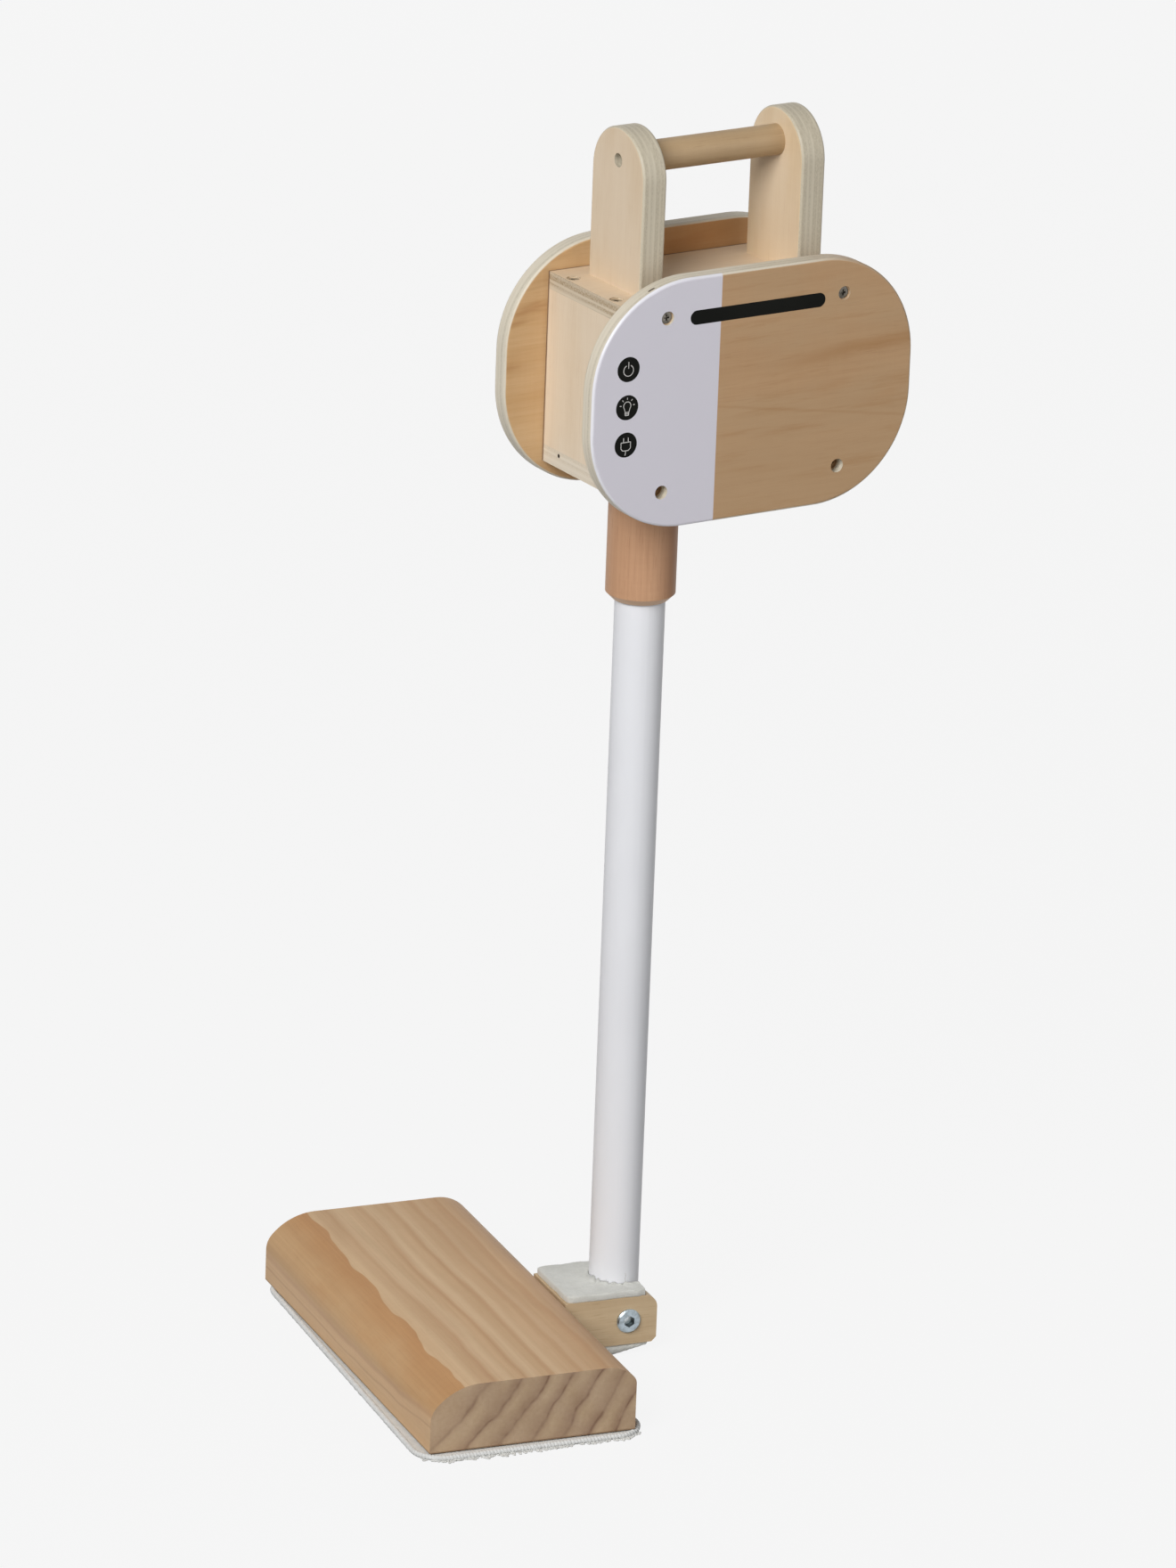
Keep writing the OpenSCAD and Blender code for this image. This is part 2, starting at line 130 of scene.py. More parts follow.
# %% [markdown]
# A small notebook keeps long node trees readable: one call per node, with inputs given by name as plain
# values or as other nodes' sockets. Stains and painted shade are what most materials repeat: a second
# colour, laid on by a product of masks.

# %% A short hand for nodes


class Nodes:
    """Adds nodes to one tree; every helper returns the output socket that the next node reads."""

    def __init__(self, tree, material=None):
        self.tree, self.material = tree, material

    def put(self, socket, value):
        """Link a socket or set a value, where three numbers for a colour are its tint."""
        if isinstance(value, bpy.types.NodeSocket):
            self.tree.links.new(value, socket)
        else:
            socket.default_value = tint(*value) if socket.type == "RGBA" and len(value) == 3 else value

    def give(self, sockets, **values):
        for name, value in values.items():
            self.put(sockets[name.replace("_", " ")], value)

    def add(self, kind, inputs=None, **settings):
        node = self.tree.nodes.new("ShaderNode" + kind)
        for name, value in settings.items():
            setattr(node, name, value)
        for name, value in (inputs or {}).items():
            self.put(node.inputs[name], value)
        return node

    def group(self, tree, **inputs):
        node = self.add("Group", node_tree=tree)
        self.give(node.inputs, Place=self.place, **inputs)
        return node.outputs

    def math(self, operation, *values, clamp=False):
        return self.add("Math", dict(enumerate(values)), operation=operation, use_clamp=clamp).outputs[0]

    def chain(self, operation, first, *others):
        for value in others:
            first = self.math(operation, first, value)
        return first

    def times(self, *values):
        return self.chain("MULTIPLY", *values)

    def plus(self, *values):
        return self.chain("ADD", *values)

    def most(self, *values):
        return self.chain("MAXIMUM", *values)

    def less(self, whole, value):
        return self.math("SUBTRACT", whole, value)

    def size(self, value):
        return self.math("ABSOLUTE", value)

    def fit(self, value, factor, offset, clamp=False):
        """Value times factor plus offset."""
        return self.math("MULTIPLY_ADD", value, factor, offset, clamp=clamp)

    def step(self, value, low, high):
        """0 at low and 1 at high, smooth between them, whichever of the two is the greater."""
        settings = {"Value": value, "From Min": low, "From Max": high}
        return self.add("MapRange", settings, interpolation_type="SMOOTHSTEP").outputs[0]

    def vec(self, operation, *values):
        node = self.add("VectorMath", dict(enumerate(values)), operation=operation)
        return node.outputs["Value" if operation == "LENGTH" else "Vector"]

    def parts(self, vector):
        return self.add("SeparateXYZ", {0: vector}).outputs

    def here(self, kind="Object"):
        return self.add("TexCoord").outputs[kind]

    def noise(self, stretch, detail=3, rough=0.55, warp=0):
        """Noise at the notebook's place, with a number of waves to the metre along each direction."""
        spread = self.vec("MULTIPLY", self.place, stretch)
        settings = {"Vector": spread, "Scale": 1, "Detail": detail, "Roughness": rough, "Distortion": warp}
        return self.add("TexNoise", settings).outputs[0]

    def mix(self, share, first, second, blend="MIX"):
        colours = {0: share, 6: first, 7: second}
        return self.add("Mix", colours, data_type="RGBA", blend_type=blend).outputs[2]

    # a second colour laid on by masks: used for real stains and for painted shade and highlights
    def stain_and_shade(self, base, colour, *masks):
        return self.mix(self.times(*masks), base, colour)

    def ramp(self, share, *stops):
        """Colours along a share; a stop is its position, then its red, green and blue."""
        node = self.add("ValToRGB", {0: share})
        band = node.color_ramp.elements
        for stop in stops[1:-1]:
            band.new(stop[0])
        for element, (at, *colour) in zip(band, stops):
            element.position, element.color = at, tint(*colour)
        return node.outputs[0]


print("node helpers:", [name for name in vars(Nodes) if name[0] != "_"])

# %% [markdown]
# Colours are written as a picture editor shows them. Every material ends in one Principled shader that
# reads a colour, a roughness and a very shallow bump.

# %% Colours and materials


def tint(red, green, blue):
    """Colour as a picture editor shows it, 0 to 255, made linear for the shader."""
    parts = np.array([red, green, blue]) / 255
    linear = np.where(parts <= 0.04045, parts / 12.92, ((parts + 0.055) / 1.055) ** 2.4)
    return (*linear.tolist(), 1)


def new_material(name):
    material = bpy.data.materials.new(name)
    material.use_nodes = True
    material.node_tree.nodes.clear()
    return Nodes(material.node_tree, material)


def coat(n, colour, rough, height, bump, depth, **more):
    relief = n.add("Bump", {"Height": height, "Strength": bump, "Distance": depth}).outputs[0]
    shader = n.add("BsdfPrincipled", {"Base Color": colour, "Roughness": rough, "Normal": relief})
    n.give(shader.inputs, **more)
    n.add("OutputMaterial", {0: shader.outputs[0]})
    return n.material


def finish_with(thing, material):
    thing.data.materials.clear()
    thing.data.materials.append(material)


def dress(materials):
    for node, material in materials.items():
        finish_with(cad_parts[node], material)
    print("dressed:", ", ".join(materials))


WHITE = (1, 1, 1, 1)
print("pale wood in linear light:", [round(c, 3) for c in tint(236, 211, 183)[:3]])

# %% [markdown]
# A big soft box stands near the camera, a little to the left and above, in a pale room. A weaker card on
# the right keeps the rear side of the pole open, and one low behind does the same for the back, without
# showing in anything shiny. The world gives a low even fill, and shows the paper's grey only to the eye and
# to shiny things.

# %% Light
PAPER, FILL = (245, 245, 245), 0.10
LAMP_AIM = Vector((0, 0.05, 0.3))
# Each lamp: azimuth and elevation in degrees, distance and size in metres, power in watts.
LAMPS = {"soft_box": (44, 36, 4, 2.4, 146), "side_card": (128, 14, 4.5, 3, 34),
         "back_card": (256, 5, 4.5, 2.2, 80)}


def seen_by_eye(n):
    """1 for rays from the eye, off a shiny surface or through glass, and 0 for light that fills."""
    rays = n.add("LightPath").outputs
    return n.most(rays["Is Camera Ray"], rays["Is Glossy Ray"], rays["Is Transmission Ray"])


def lamp(name, azimuth, elevation, distance, size, power):
    """Round soft box: its own +Z points from the toy to the lamp, so that it shines back along -Z."""
    data = bpy.data.lights.new(name, "AREA")
    data.shape = "DISK"
    data.size, data.energy = size, power
    made = bpy.data.objects.new(name, data)
    towards = direction(radians(azimuth), radians(elevation))
    made.matrix_world = towards.to_track_quat("Z", "Y").to_matrix().to_4x4()
    made.matrix_world.translation = LAMP_AIM + towards * distance
    bpy.context.collection.objects.link(made)
    return made


world = bpy.data.worlds.new("paper_room")
bpy.context.scene.world = world
world.use_nodes = True
world.node_tree.nodes.clear()
room = Nodes(world.node_tree)
fill_light = room.add("Background", {"Color": WHITE, "Strength": FILL}).outputs[0]
paper_light = room.add("Background", {"Color": PAPER, "Strength": 1}).outputs[0]
shown = room.add("MixShader", {0: seen_by_eye(room), 1: fill_light, 2: paper_light}).outputs[0]
room.add("OutputWorld", {"Surface": shown})
lamps = {name: lamp(name, *how) for name, how in LAMPS.items()}
lamps["back_card"].visible_glossy = False
bpy.context.scene.view_settings.view_transform = "Standard"
print("soft box at", tuple(round(c, 2) for c in lamps["soft_box"].location))

# %% [markdown]
# All the shapes here are grids of points worked out as whole arrays. One helper joins a grid, or many
# alike, into quads, and welds points that fall together at a tip or along an edge.

# %% Surfaces from grids


def grid_faces(rows, columns, close_rows=False, close_columns=False):
    """Corner numbers of the quads of a grid: each point with its neighbours in the next row and column."""
    i = np.arange(rows if close_rows else rows - 1)[:, None]
    j = np.arange(columns if close_columns else columns - 1)[None, :]
    k, m = (i + 1) % rows, (j + 1) % columns
    return np.stack([i * columns + j, k * columns + j, k * columns + m, i * columns + m], -1).reshape(-1, 4)


def surface(name, points, material, body=None, close_rows=False, close_columns=False, weld=0):
    """Mesh that rides a body, from points (rows, columns, 3), or (pieces, rows, columns, 3) for many."""
    points = points.reshape((-1,) + points.shape[-3:])
    pieces, rows, columns = points.shape[:3]
    faces = grid_faces(rows, columns, close_rows, close_columns)
    faces = (faces[None] + (np.arange(pieces) * rows * columns)[:, None, None]).reshape(-1, 4)
    mesh = bpy.data.meshes.new(name)
    mesh.from_pydata(points.reshape(-1, 3).tolist(), [], faces.tolist())
    if weld:
        knit = bmesh.new()
        knit.from_mesh(mesh)
        bmesh.ops.remove_doubles(knit, verts=knit.verts, dist=weld)
        bmesh.ops.dissolve_degenerate(knit, edges=knit.edges, dist=weld)
        bmesh.ops.recalc_face_normals(knit, faces=knit.faces)
        knit.to_mesh(mesh)
        knit.free()
    mesh.polygons.foreach_set("use_smooth", np.ones(len(mesh.polygons), bool))
    made = bpy.data.objects.new(name, mesh)
    bpy.context.collection.objects.link(made)
    finish_with(made, material)
    if body:
        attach(made, body)
    return made


def unit(vectors):
    return vectors / np.linalg.norm(vectors, axis=-1, keepdims=True)


def soft_random(shape, passes, seed):
    """Random numbers on a grid, averaged with their neighbours a few times, and scaled to a spread of 1."""
    field = np.random.default_rng(seed).normal(size=shape)
    for _ in range(passes):
        for axis in range(len(shape)):
            field = (np.roll(field, 1, axis) + 2 * field + np.roll(field, -1, axis)) / 4
    return (field - field.mean()) / field.std()


print("quads in a grid of 3 by 3 points:", len(grid_faces(3, 3)))

# %% [markdown]
# The floor is a sheet of paper. To the eye most of its brightness is its own pale grey, so it melts into
# the background, and the rest is reflected light, which keeps a faint shadow under the toy.

# %% Paper floor
FLOOR_HALF, FLOOR_DROP = 9, 0.3 * MM
FLOOR_SHARE, FLOOR_GLOW = 0.10, 0.990

ruler = np.linspace(-FLOOR_HALF, FLOOR_HALF, 3)
across, along = np.meshgrid(ruler, ruler)
p = new_material("paper")
reflected = p.add("BsdfDiffuse", {"Color": (160, 160, 160)}).outputs[0]
own = p.add("Emission", {"Color": WHITE, "Strength": FLOOR_GLOW}).outputs[0]
plain = p.add("MixShader", {0: FLOOR_SHARE, 1: own, 2: reflected}).outputs[0]
p.add("OutputMaterial", {0: p.add("MixShader", {0: seen_by_eye(p), 1: reflected, 2: plain}).outputs[0]})
floor = surface("paper_floor", np.stack([along, across, 0 * along - FLOOR_DROP], -1)[:, ::-1], p.material)
floor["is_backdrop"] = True
print("floor:", len(floor.data.polygons), "quads")

# %% [markdown]
# Every wooden piece has its own directions: along the grain, across it, and through its thickness. A
# Mapping node turns Object coordinates into those, and the normal too, so that a material knows a face from
# an edge however the piece is posed.

# %% A piece's own directions
KINDS = {"v": "NodeSocketVector", "f": "NodeSocketFloat", "c": "NodeSocketColor"}


def own_directions(n, origin, grain, through):
    """Rows of the turn are grain, across and through, so turn (p - origin) is along, across and deep."""
    first, deep = Vector(grain).normalized(), Vector(through).normalized()
    turn = Matrix((first, deep.cross(first), deep))
    angles, shift = turn.to_euler("XYZ"), -(turn @ Vector(origin))
    place = n.add("Mapping", {"Vector": n.here(), "Rotation": angles, "Location": shift})
    facing = n.add("Mapping", {"Vector": n.here("Normal"), "Rotation": angles}, vector_type="VECTOR")
    n.place, n.facing = place.outputs[0], facing.outputs[0]
    return n.parts(n.place)


def new_group(name, inputs, outputs):
    """Node group from two lists such as "Place v, Amount f": v for vector, f for value and c for colour."""
    tree = bpy.data.node_groups.new(name, "ShaderNodeTree")
    for way, listed in (("INPUT", inputs), ("OUTPUT", outputs)):
        for label, kind in (item.split() for item in listed.split(", ")):
            tree.interface.new_socket(label, in_out=way, socket_type=KINDS[kind])
    made, source = Nodes(tree), tree.nodes.new("NodeGroupInput").outputs
    made.place = source["Place"]
    print("group:", name, "from", inputs)
    return tree, made, source, tree.nodes.new("NodeGroupOutput").inputs


# %% [markdown]
# Grain is shared by nearly every piece. Wood is a bundle of long cells, so its noise is drawn out along the
# grain: broad bands, fine streaks, short dark pores, and a cross ripple where the fibres wave.

# %% Grain, for every wooden piece
GRAIN, g, g_in, g_out = new_group("grain", "Place v, Pale c, Dark c, Figure f, Pores f",
                                  "Color c, Height f")
bands = g.noise((6, 55, 55), 2, 0.5, 0.6)
streaks = g.noise((10, 520, 520), 4, 0.6)
ripple = g.noise((420, 45, 45), 2, 0.5)
pores = g.step(g.noise((75, 1900, 1900), 1, 0.5), 0.60, 0.74)
tone = g.plus(g.fit(bands, 1.3, -0.65), g.fit(streaks, 0.9, -0.45), g.fit(ripple, 0.22, -0.11))
tone = g.fit(tone, g_in["Figure"], 0.5, clamp=True)
wood = g.mix(tone, g_in["Pale"], g_in["Dark"])
shade = g.mix(g.times(pores, g_in["Pores"]), wood, g_in["Dark"], "MULTIPLY")
g.give(g_out, Color=shade, Height=g.less(streaks, g.times(pores, 0.5)))

# %% [markdown]
# Plywood shows its sheets on every sawn edge, glued crosswise, so that each second one shows dull end
# grain. A sine through the thickness gives the sheets, and its zeros the glue lines. The order swaps where
# the edge turns across the grain, or where the number of sheets is negative.

# %% Sheets of plywood on an edge
PLY, g, g_in, g_out = new_group(
    "plywood_edge", "Place v, Facing v, Sheets f, Thick f, Pale c, Dull c, Balance f",
    "Color c, Height f, Edge f")
wander = g.fit(g.noise((28, 28, 28), 2), *mm(0.8, -0.4))
share = g.plus(g.math("DIVIDE", g.plus(g.parts(g.place)[2], wander), g_in["Thick"]), 0.5)
wave = g.math("SINE", g.times(share, g_in["Sheets"], pi))
facing = g.parts(g.vec("ABSOLUTE", g_in["Facing"]))
crosswise = g.fit(g.step(facing[0], 0.45, 0.85), -2, 1)
bias = g.fit(g.noise((9, 9, 400), 2), 3, -1.5)
order = g.step(g.plus(g.times(wave, crosswise, 0.55), g.less(bias, g_in["Balance"])), -0.55, 0.55)
specks = g.noise((700, 700, 1500), 3, 0.7)
slow = g.noise((22, 22, 800), 2, 0.5)
pale = g.stain_and_shade(g_in["Pale"], g_in["Dull"], slow, 0.45)
dull = g.mix(g.step(specks, 0.30, 0.75), g_in["Dull"], g_in["Pale"])
dull = g.mix(0.30, dull, g_in["Dull"])
glue = g.less(1, g.step(g.size(wave), 0, 0.34))
sheets = g.stain_and_shade(g.mix(order, dull, pale), (140, 116, 86), glue, 0.12)
g.give(g_out, Color=sheets, Height=g.plus(specks, order), Edge=g.less(1, g.step(facing[2], 0.84, 0.97)))

# %% [markdown]
# A thin clear lacquer lies on all the bare wood, with the grain as its bump. A board has grain with paler
# clouds on its faces, sheets on its edges, and a dark line of painted shade where a side panel closes on
# it.

# %% Plywood boards and uprights
BOARD_T, UPRIGHT_T, PANEL_T = mm(9, 14, 10)
BOX_HALF, SATIN = 37 * MM, 0.48
LYING, STANDING = (BODY_Y, BODY_Z), (BODY_Z, BODY_Y)
CREAM = ((237, 222, 200), (220, 198, 169))
TOP_WOOD = ((235, 216, 190), (221, 195, 162))
FRONT_WOOD = ((223, 205, 180), (211, 186, 154))
REAR_WOOD = ((227, 208, 177), (213, 185, 148))
RIM_TONES = ((226, 217, 199), (196, 187, 167))
UPRIGHT_TONES = ((210, 201, 181), (183, 173, 152))
BOARD_TONES = ((233, 222, 204), (214, 200, 178))
TOP_TONES = ((229, 216, 194), (160, 136, 103))


def lacquer(n, colour, height, rough=SATIN, bump=0.10):
    return coat(n, colour, rough, height, bump, 0.4 * MM, Specular_IOR_Level=0.35)


def plywood(name, origin, grain, through, sheets, thick, woods, tones, balance, gap_shade):
    n = new_material(name)
    across = own_directions(n, origin, grain, through)[1]
    face = n.group(GRAIN, Pale=woods[0], Dark=woods[1], Figure=0.6, Pores=0.15)
    edge = n.group(PLY, Facing=n.facing, Sheets=sheets, Thick=thick, Pale=tones[0], Dull=tones[1],
                   Balance=balance)
    cloud = n.step(n.noise((9, 30, 30), 3, 0.5), 0.46, 0.66)
    sanded = n.stain_and_shade(face["Color"], (234, 219, 199), cloud, 0.25)
    colour = n.mix(edge["Edge"], sanded, edge["Color"])
    # painted shade: a dark line near each side of the box, where the gap to a side panel is in shade
    if gap_shade:
        shade_by_panel = n.step(n.size(across), BOX_HALF - 1.7 * MM, BOX_HALF - 0.5 * MM)
        colour = n.stain_and_shade(colour, (104, 70, 40), shade_by_panel, 0.9)
    return lacquer(n, colour, n.plus(face["Height"], n.times(edge["Edge"], edge["Height"])))


# Each board: back and height in mm, directions, sheets, thickness, woods, tones, balance, gap shade.
boards = {
    "top_board": (0, 570.9, LYING, -5, BOARD_T, TOP_WOOD, TOP_TONES, 0.25, True),
    "bottom_board": (0, 479.9, LYING, 5, BOARD_T, CREAM, BOARD_TONES, 0, True),
    "front_board": (-34, 0, STANDING, 5, BOARD_T, CREAM, BOARD_TONES, 0, True),
    "rear_board": (99, 0, STANDING, 5, BOARD_T, CREAM, BOARD_TONES, 0, True),
    "front_upright": (-16, 0, STANDING, 9, UPRIGHT_T, FRONT_WOOD, UPRIGHT_TONES, 0.1, False),
    "rear_upright": (78, 0, STANDING, 9, UPRIGHT_T, REAR_WOOD, UPRIGHT_TONES, 0.3, False),
}
dress({node: plywood(node + "_ply", on_body(0, behind * MM, height * MM), *directions, *how)
       for node, (behind, height, directions, *how) in boards.items()})

# %% [markdown]
# The two big side panels are the show faces. Their veneer is livelier, with stray grain at a slant: belts
# of drawn-out noise, broken up by gaps.

# %% Stray grain
STRAY, g, g_in, g_out = new_group("stray_grain", "Place v, Lean f, Amount f", "Mask f")
slanted = g.add("VectorRotate", {"Vector": g.place, "Angle": g_in["Lean"]}, rotation_type="Z_AXIS")
g.place = slanted.outputs[0]
belts = g.step(g.noise((9, 85, 20), 3, 0.55, 0.4), 0.50, 0.74)
gaps = g.step(g.noise((11, 16, 16), 1), 0.42, 0.62)
g.give(g_out, Mask=g.times(belts, gaps, g_in["Amount"]))

# %% [markdown]
# A panel is a rounded rectangle with an eased edge, so its sawn rim is found by distance: without the
# straight middle, what is left of a place is its distance from a corner's centre, which grows to the
# corner's radius at the edge. Bored holes count as sawn too, by the way their walls face.

# %% Side panels
PANEL_LONG, PANEL_TALL, PANEL_R, EASE = mm(190, 130, 55.5, 1.6)
PANEL_CORE = (PANEL_LONG / 2 - PANEL_R, PANEL_TALL / 2 - PANEL_R, 0)


def panel_ply(name, side, pale, dark, stray, lean, amount, figure):
    """Notebook of a side panel, with its colour so far and the masks that its marks read."""
    n = new_material(name)
    n.stray, n.rough = stray, SATIN
    n.front, n.tall, n.deep = own_directions(n, on_body(side, PANEL_BACK, PANEL_HIGH), BODY_Y, BODY_X)
    face = n.group(GRAIN, Pale=pale, Dark=dark, Figure=figure, Pores=0.12)
    slant = n.group(STRAY, Lean=lean, Amount=amount)
    edge = n.group(PLY, Facing=n.facing, Sheets=7, Thick=PANEL_T, Pale=RIM_TONES[0], Dull=RIM_TONES[1],
                   Balance=-0.3)
    flat = n.vec("ABSOLUTE", n.vec("MULTIPLY", n.place, (1, 1, 0)))
    n.outer = n.vec("LENGTH", n.vec("MAXIMUM", n.vec("SUBTRACT", flat, PANEL_CORE), (0, 0, 0)))
    n.wall = n.step(n.size(n.parts(n.facing)[2]), 0.6, 0.3)
    n.sawn = n.most(near_rim(n, 0.76, 0.45), n.wall)
    n.plain = n.less(1, n.sawn)
    n.colour = n.mix(n.sawn, n.mix(slant["Mask"], face["Color"], stray), edge["Color"])
    n.height = n.plus(face["Height"], n.times(n.sawn, edge["Height"]))
    return n


def near_rim(n, low, high):
    """Step towards the rim, between two shares of the eased edge's width."""
    return n.step(n.outer, PANEL_R - low * EASE, PANEL_R - high * EASE)


def mark(n, colour, *masks):
    n.colour = n.stain_and_shade(n.colour, colour, *masks)


near = panel_ply("right_panel_ply", PANEL_OUT, (197, 161, 122), (175, 137, 98), (164, 119, 71),
                 lean=0.06, amount=0.55, figure=0.62)
far = panel_ply("left_panel_ply", -PANEL_OUT, (219, 187, 144), (199, 157, 107), (172, 122, 72),
                lean=-0.05, amount=0.85, figure=0.85)
print("panels:", near.material.name, far.material.name)

# %% [markdown]
# The far panel has painted shade along the top of its inner face. The near one has greyer hazes, flecks, a
# broad belt that leans across its rear half, one fine vein, and painted shade on its rim behind.

# %% Marks and painted shade in the panels' wood


def far_painted_shade(n):
    # painted shade: the rear part of the top of the inner face, above the top board, is darkened
    high, inner = n.step(n.tall, *mm(46, 51)), n.step(n.deep, *mm(1, 3))
    mark(n, (168, 112, 62), high, n.step(n.front, *mm(-60, 10)), inner, n.plain, 0.55)


def near_marks(n):
    """Belt and vein are bands round a leaning line: height + slope times front + offset, plus a drift."""
    haze = n.step(n.noise((11, 26, 11), 3, 0.55), 0.40, 0.62)
    dry = n.step(n.tall, *mm(5, -40))
    mark(n, (184, 153, 117), n.most(n.times(haze, 0.6), n.times(dry, 0.55)), n.plain)
    fleck = n.step(n.noise((15, 170, 34), 4, 0.7), 0.50, 0.76)
    mark(n, n.stray, fleck, n.plain, 0.4)
    drift = n.fit(n.noise((20, 90, 20), 4, 0.65), *mm(12, -6))
    off_belt = n.size(n.plus(n.fit(n.front, -0.068, -11.3 * MM), n.tall, drift))
    belt = n.times(n.step(off_belt, 6 * MM, 0), n.step(n.front, 0, 60 * MM))
    off_vein = n.size(n.plus(n.fit(n.front, 0.17, 8 * MM), n.fit(drift, 0.25, n.tall)))
    vein = n.times(n.step(off_vein, *mm(1.3, 0.1)), 0.45)
    mark(n, n.stray, n.most(belt, vein), n.plain, 0.50)
    # painted shade: the rim of the rear upper part is darkened, where it is turned from the light
    mark(n, (176, 144, 108), n.step(n.front, *mm(20, 70)), n.step(n.tall, *mm(0, 40)), n.sawn, 0.9)


far_painted_shade(far)
near_marks(near)
print("marked:", far.material.name, near.material.name)

# %% [markdown]
# On the near panel a white field is printed over the front part, up to a straight edge and round the eased
# rim, but not into the bored holes; on the rim it is whiter, as a painted highlight. Ink fills the grain,
# so it is smoother and glossier. One sheet of the upper rim has a dark slit.

# %% White field
PRINT_EDGE, PRINT_SOFT = mm(-21, 0.1)
PRINT_WHITE, RIM_HIGHLIGHT_WHITE = (219, 216, 225), (232, 231, 237)
SLIT_FRONT, SLIT_DEEP = mm(-61, 1.9)


def white_field(n):
    ahead = n.step(n.front, PRINT_EDGE + PRINT_SOFT, PRINT_EDGE - PRINT_SOFT)
    outside = n.step(n.deep, PANEL_T / 2 - 0.78 * EASE, PANEL_T / 2 - 0.70 * EASE)
    inside = n.step(n.outer, PANEL_R - 1 * MM - EASE, PANEL_R - 2 * MM - EASE)
    ink = n.times(ahead, outside, n.less(1, n.times(n.wall, inside)))
    # painted highlight: the print turns whiter on the eased rim, where light catches it
    mark(n, n.mix(near_rim(n, 0.72, 0.37), PRINT_WHITE, RIM_HIGHLIGHT_WHITE), ink)
    n.height = n.times(n.height, n.fit(ink, -0.85, 1))
    n.rough = n.fit(ink, -0.22, SATIN)
    along = n.step(n.size(n.less(n.front, SLIT_FRONT)), *mm(2.2, 1.4))
    layer = n.step(n.size(n.less(n.deep, SLIT_DEEP)), *mm(0.75, 0.45))
    mark(n, (58, 44, 30), along, n.step(n.tall, 0, 5 * MM), layer, n.sawn)


white_field(near)
dress({name: lacquer(n, n.colour, n.height, n.rough)
       for name, n in (("right_panel", near), ("left_panel", far))})

# %% [markdown]
# The bar is a pale hardwood dowel, the socket is turned beech with short flecks, and the pivot block is a
# plain offcut. The socket's rear side is darkened with painted shade, and its chamfer below is paler.

# %% Bar, socket, pivot block and pins
AHEAD, ABOVE = (0, 1, 0), (0, 0, 1)


def bare_wood(name, origin, grain, through, pale, dark, figure=0.8, pores=0.25, lift=0, rear_shade=0):
    """Grain all over, with painted shade on the rear side by rear_shade, and paler by the lift where it
    faces down.
    """
    n = new_material(name)
    across = own_directions(n, origin, grain, through)[1]
    wood = n.group(GRAIN, Pale=pale, Dark=dark, Figure=figure, Pores=pores)
    colour = wood["Color"]
    # painted shade: the rear side of the piece, turned from the light, is darkened
    if rear_shade:
        rearward = n.step(across, *mm(4, -9))
        colour = n.stain_and_shade(colour, (150, 104, 72), rearward, rear_shade)
    if lift:
        down = n.times(n.parts(n.here("Normal"))[2], -1)
        colour = n.stain_and_shade(colour, (246, 214, 180), n.step(down, 0.3, 0.6), lift)
    return lacquer(n, colour, wood["Height"])


dress({
    "handle_bar": bare_wood("bar_wood", on_body(0, 0, 640.9 * MM), BODY_Y, BODY_Z, (192, 165, 128),
                            (171, 143, 108), 0.9, 0.16),
    "pole_socket": bare_wood("beech", POLE_FOOT, BODY_Z, BODY_X, (207, 164, 129), (178, 133, 100),
                             0.9, 0.26, lift=0.45, rear_shade=0.6),
    "pivot_block": bare_wood("block_wood", (0, 0.08, 0), (0, 1, 0.06), ABOVE, (213, 190, 155),
                             (192, 166, 131), 0.9, 0.30),
    "block_dowels": bare_wood("pin_beech", (0, 0, 0), AHEAD, ABOVE, (212, 172, 134),
                              (188, 146, 110)),
})

# %% [markdown]
# The foot is sawn from pine. Its growth rings are cylinders round the heart of the log, which lay in front
# of the foot and above it. Cutting them with the block's own shape gives straight stripes on top and
# slanted arcs on the sawn ends, so one formula serves all sides.

# %% Rings of pine
HEART_Y, HEART_Z, FIRST_RING = mm(-160, 130, 150)


def ring_years(n):
    """Age of the wood: distance from the heart past a first ring, times a rate that grows with it."""
    out = n.vec("LENGTH", n.vec("MULTIPLY", n.place, (0, 1, 1)))
    sway = n.fit(n.noise((7, 16, 16), 3, 0.5), *mm(12, -6))
    shiver = n.fit(n.noise((30, 90, 90), 2, 0.5), *mm(1.6, -0.8))
    past = n.less(n.plus(out, sway, shiver), FIRST_RING)
    return n.plus(n.times(past, 60), n.times(past, past, 160))


def long_side(n, years, season, y):
    """Stripes of each season with a weaker one between, faded in places and darker to the rear."""
    top = n.ramp(season, (0, 224, 195, 157), (0.40, 218, 186, 146), (0.68, 211, 175, 134),
                 (0.86, 198, 156, 115), (0.96, 215, 182, 142), (1, 224, 195, 157))
    between = n.fit(n.math("SINE", n.times(years, 4.3 * pi)), 0.18, 0.18)
    top = n.stain_and_shade(top, (203, 162, 121), between)
    faded = n.step(n.noise((3, 34, 34), 2), 0.36, 0.60)
    top = n.stain_and_shade(top, (221, 189, 150), faded, 0.30)
    return n.stain_and_shade(top, (194, 152, 110), n.step(y, 0, 55 * MM), 0.70)


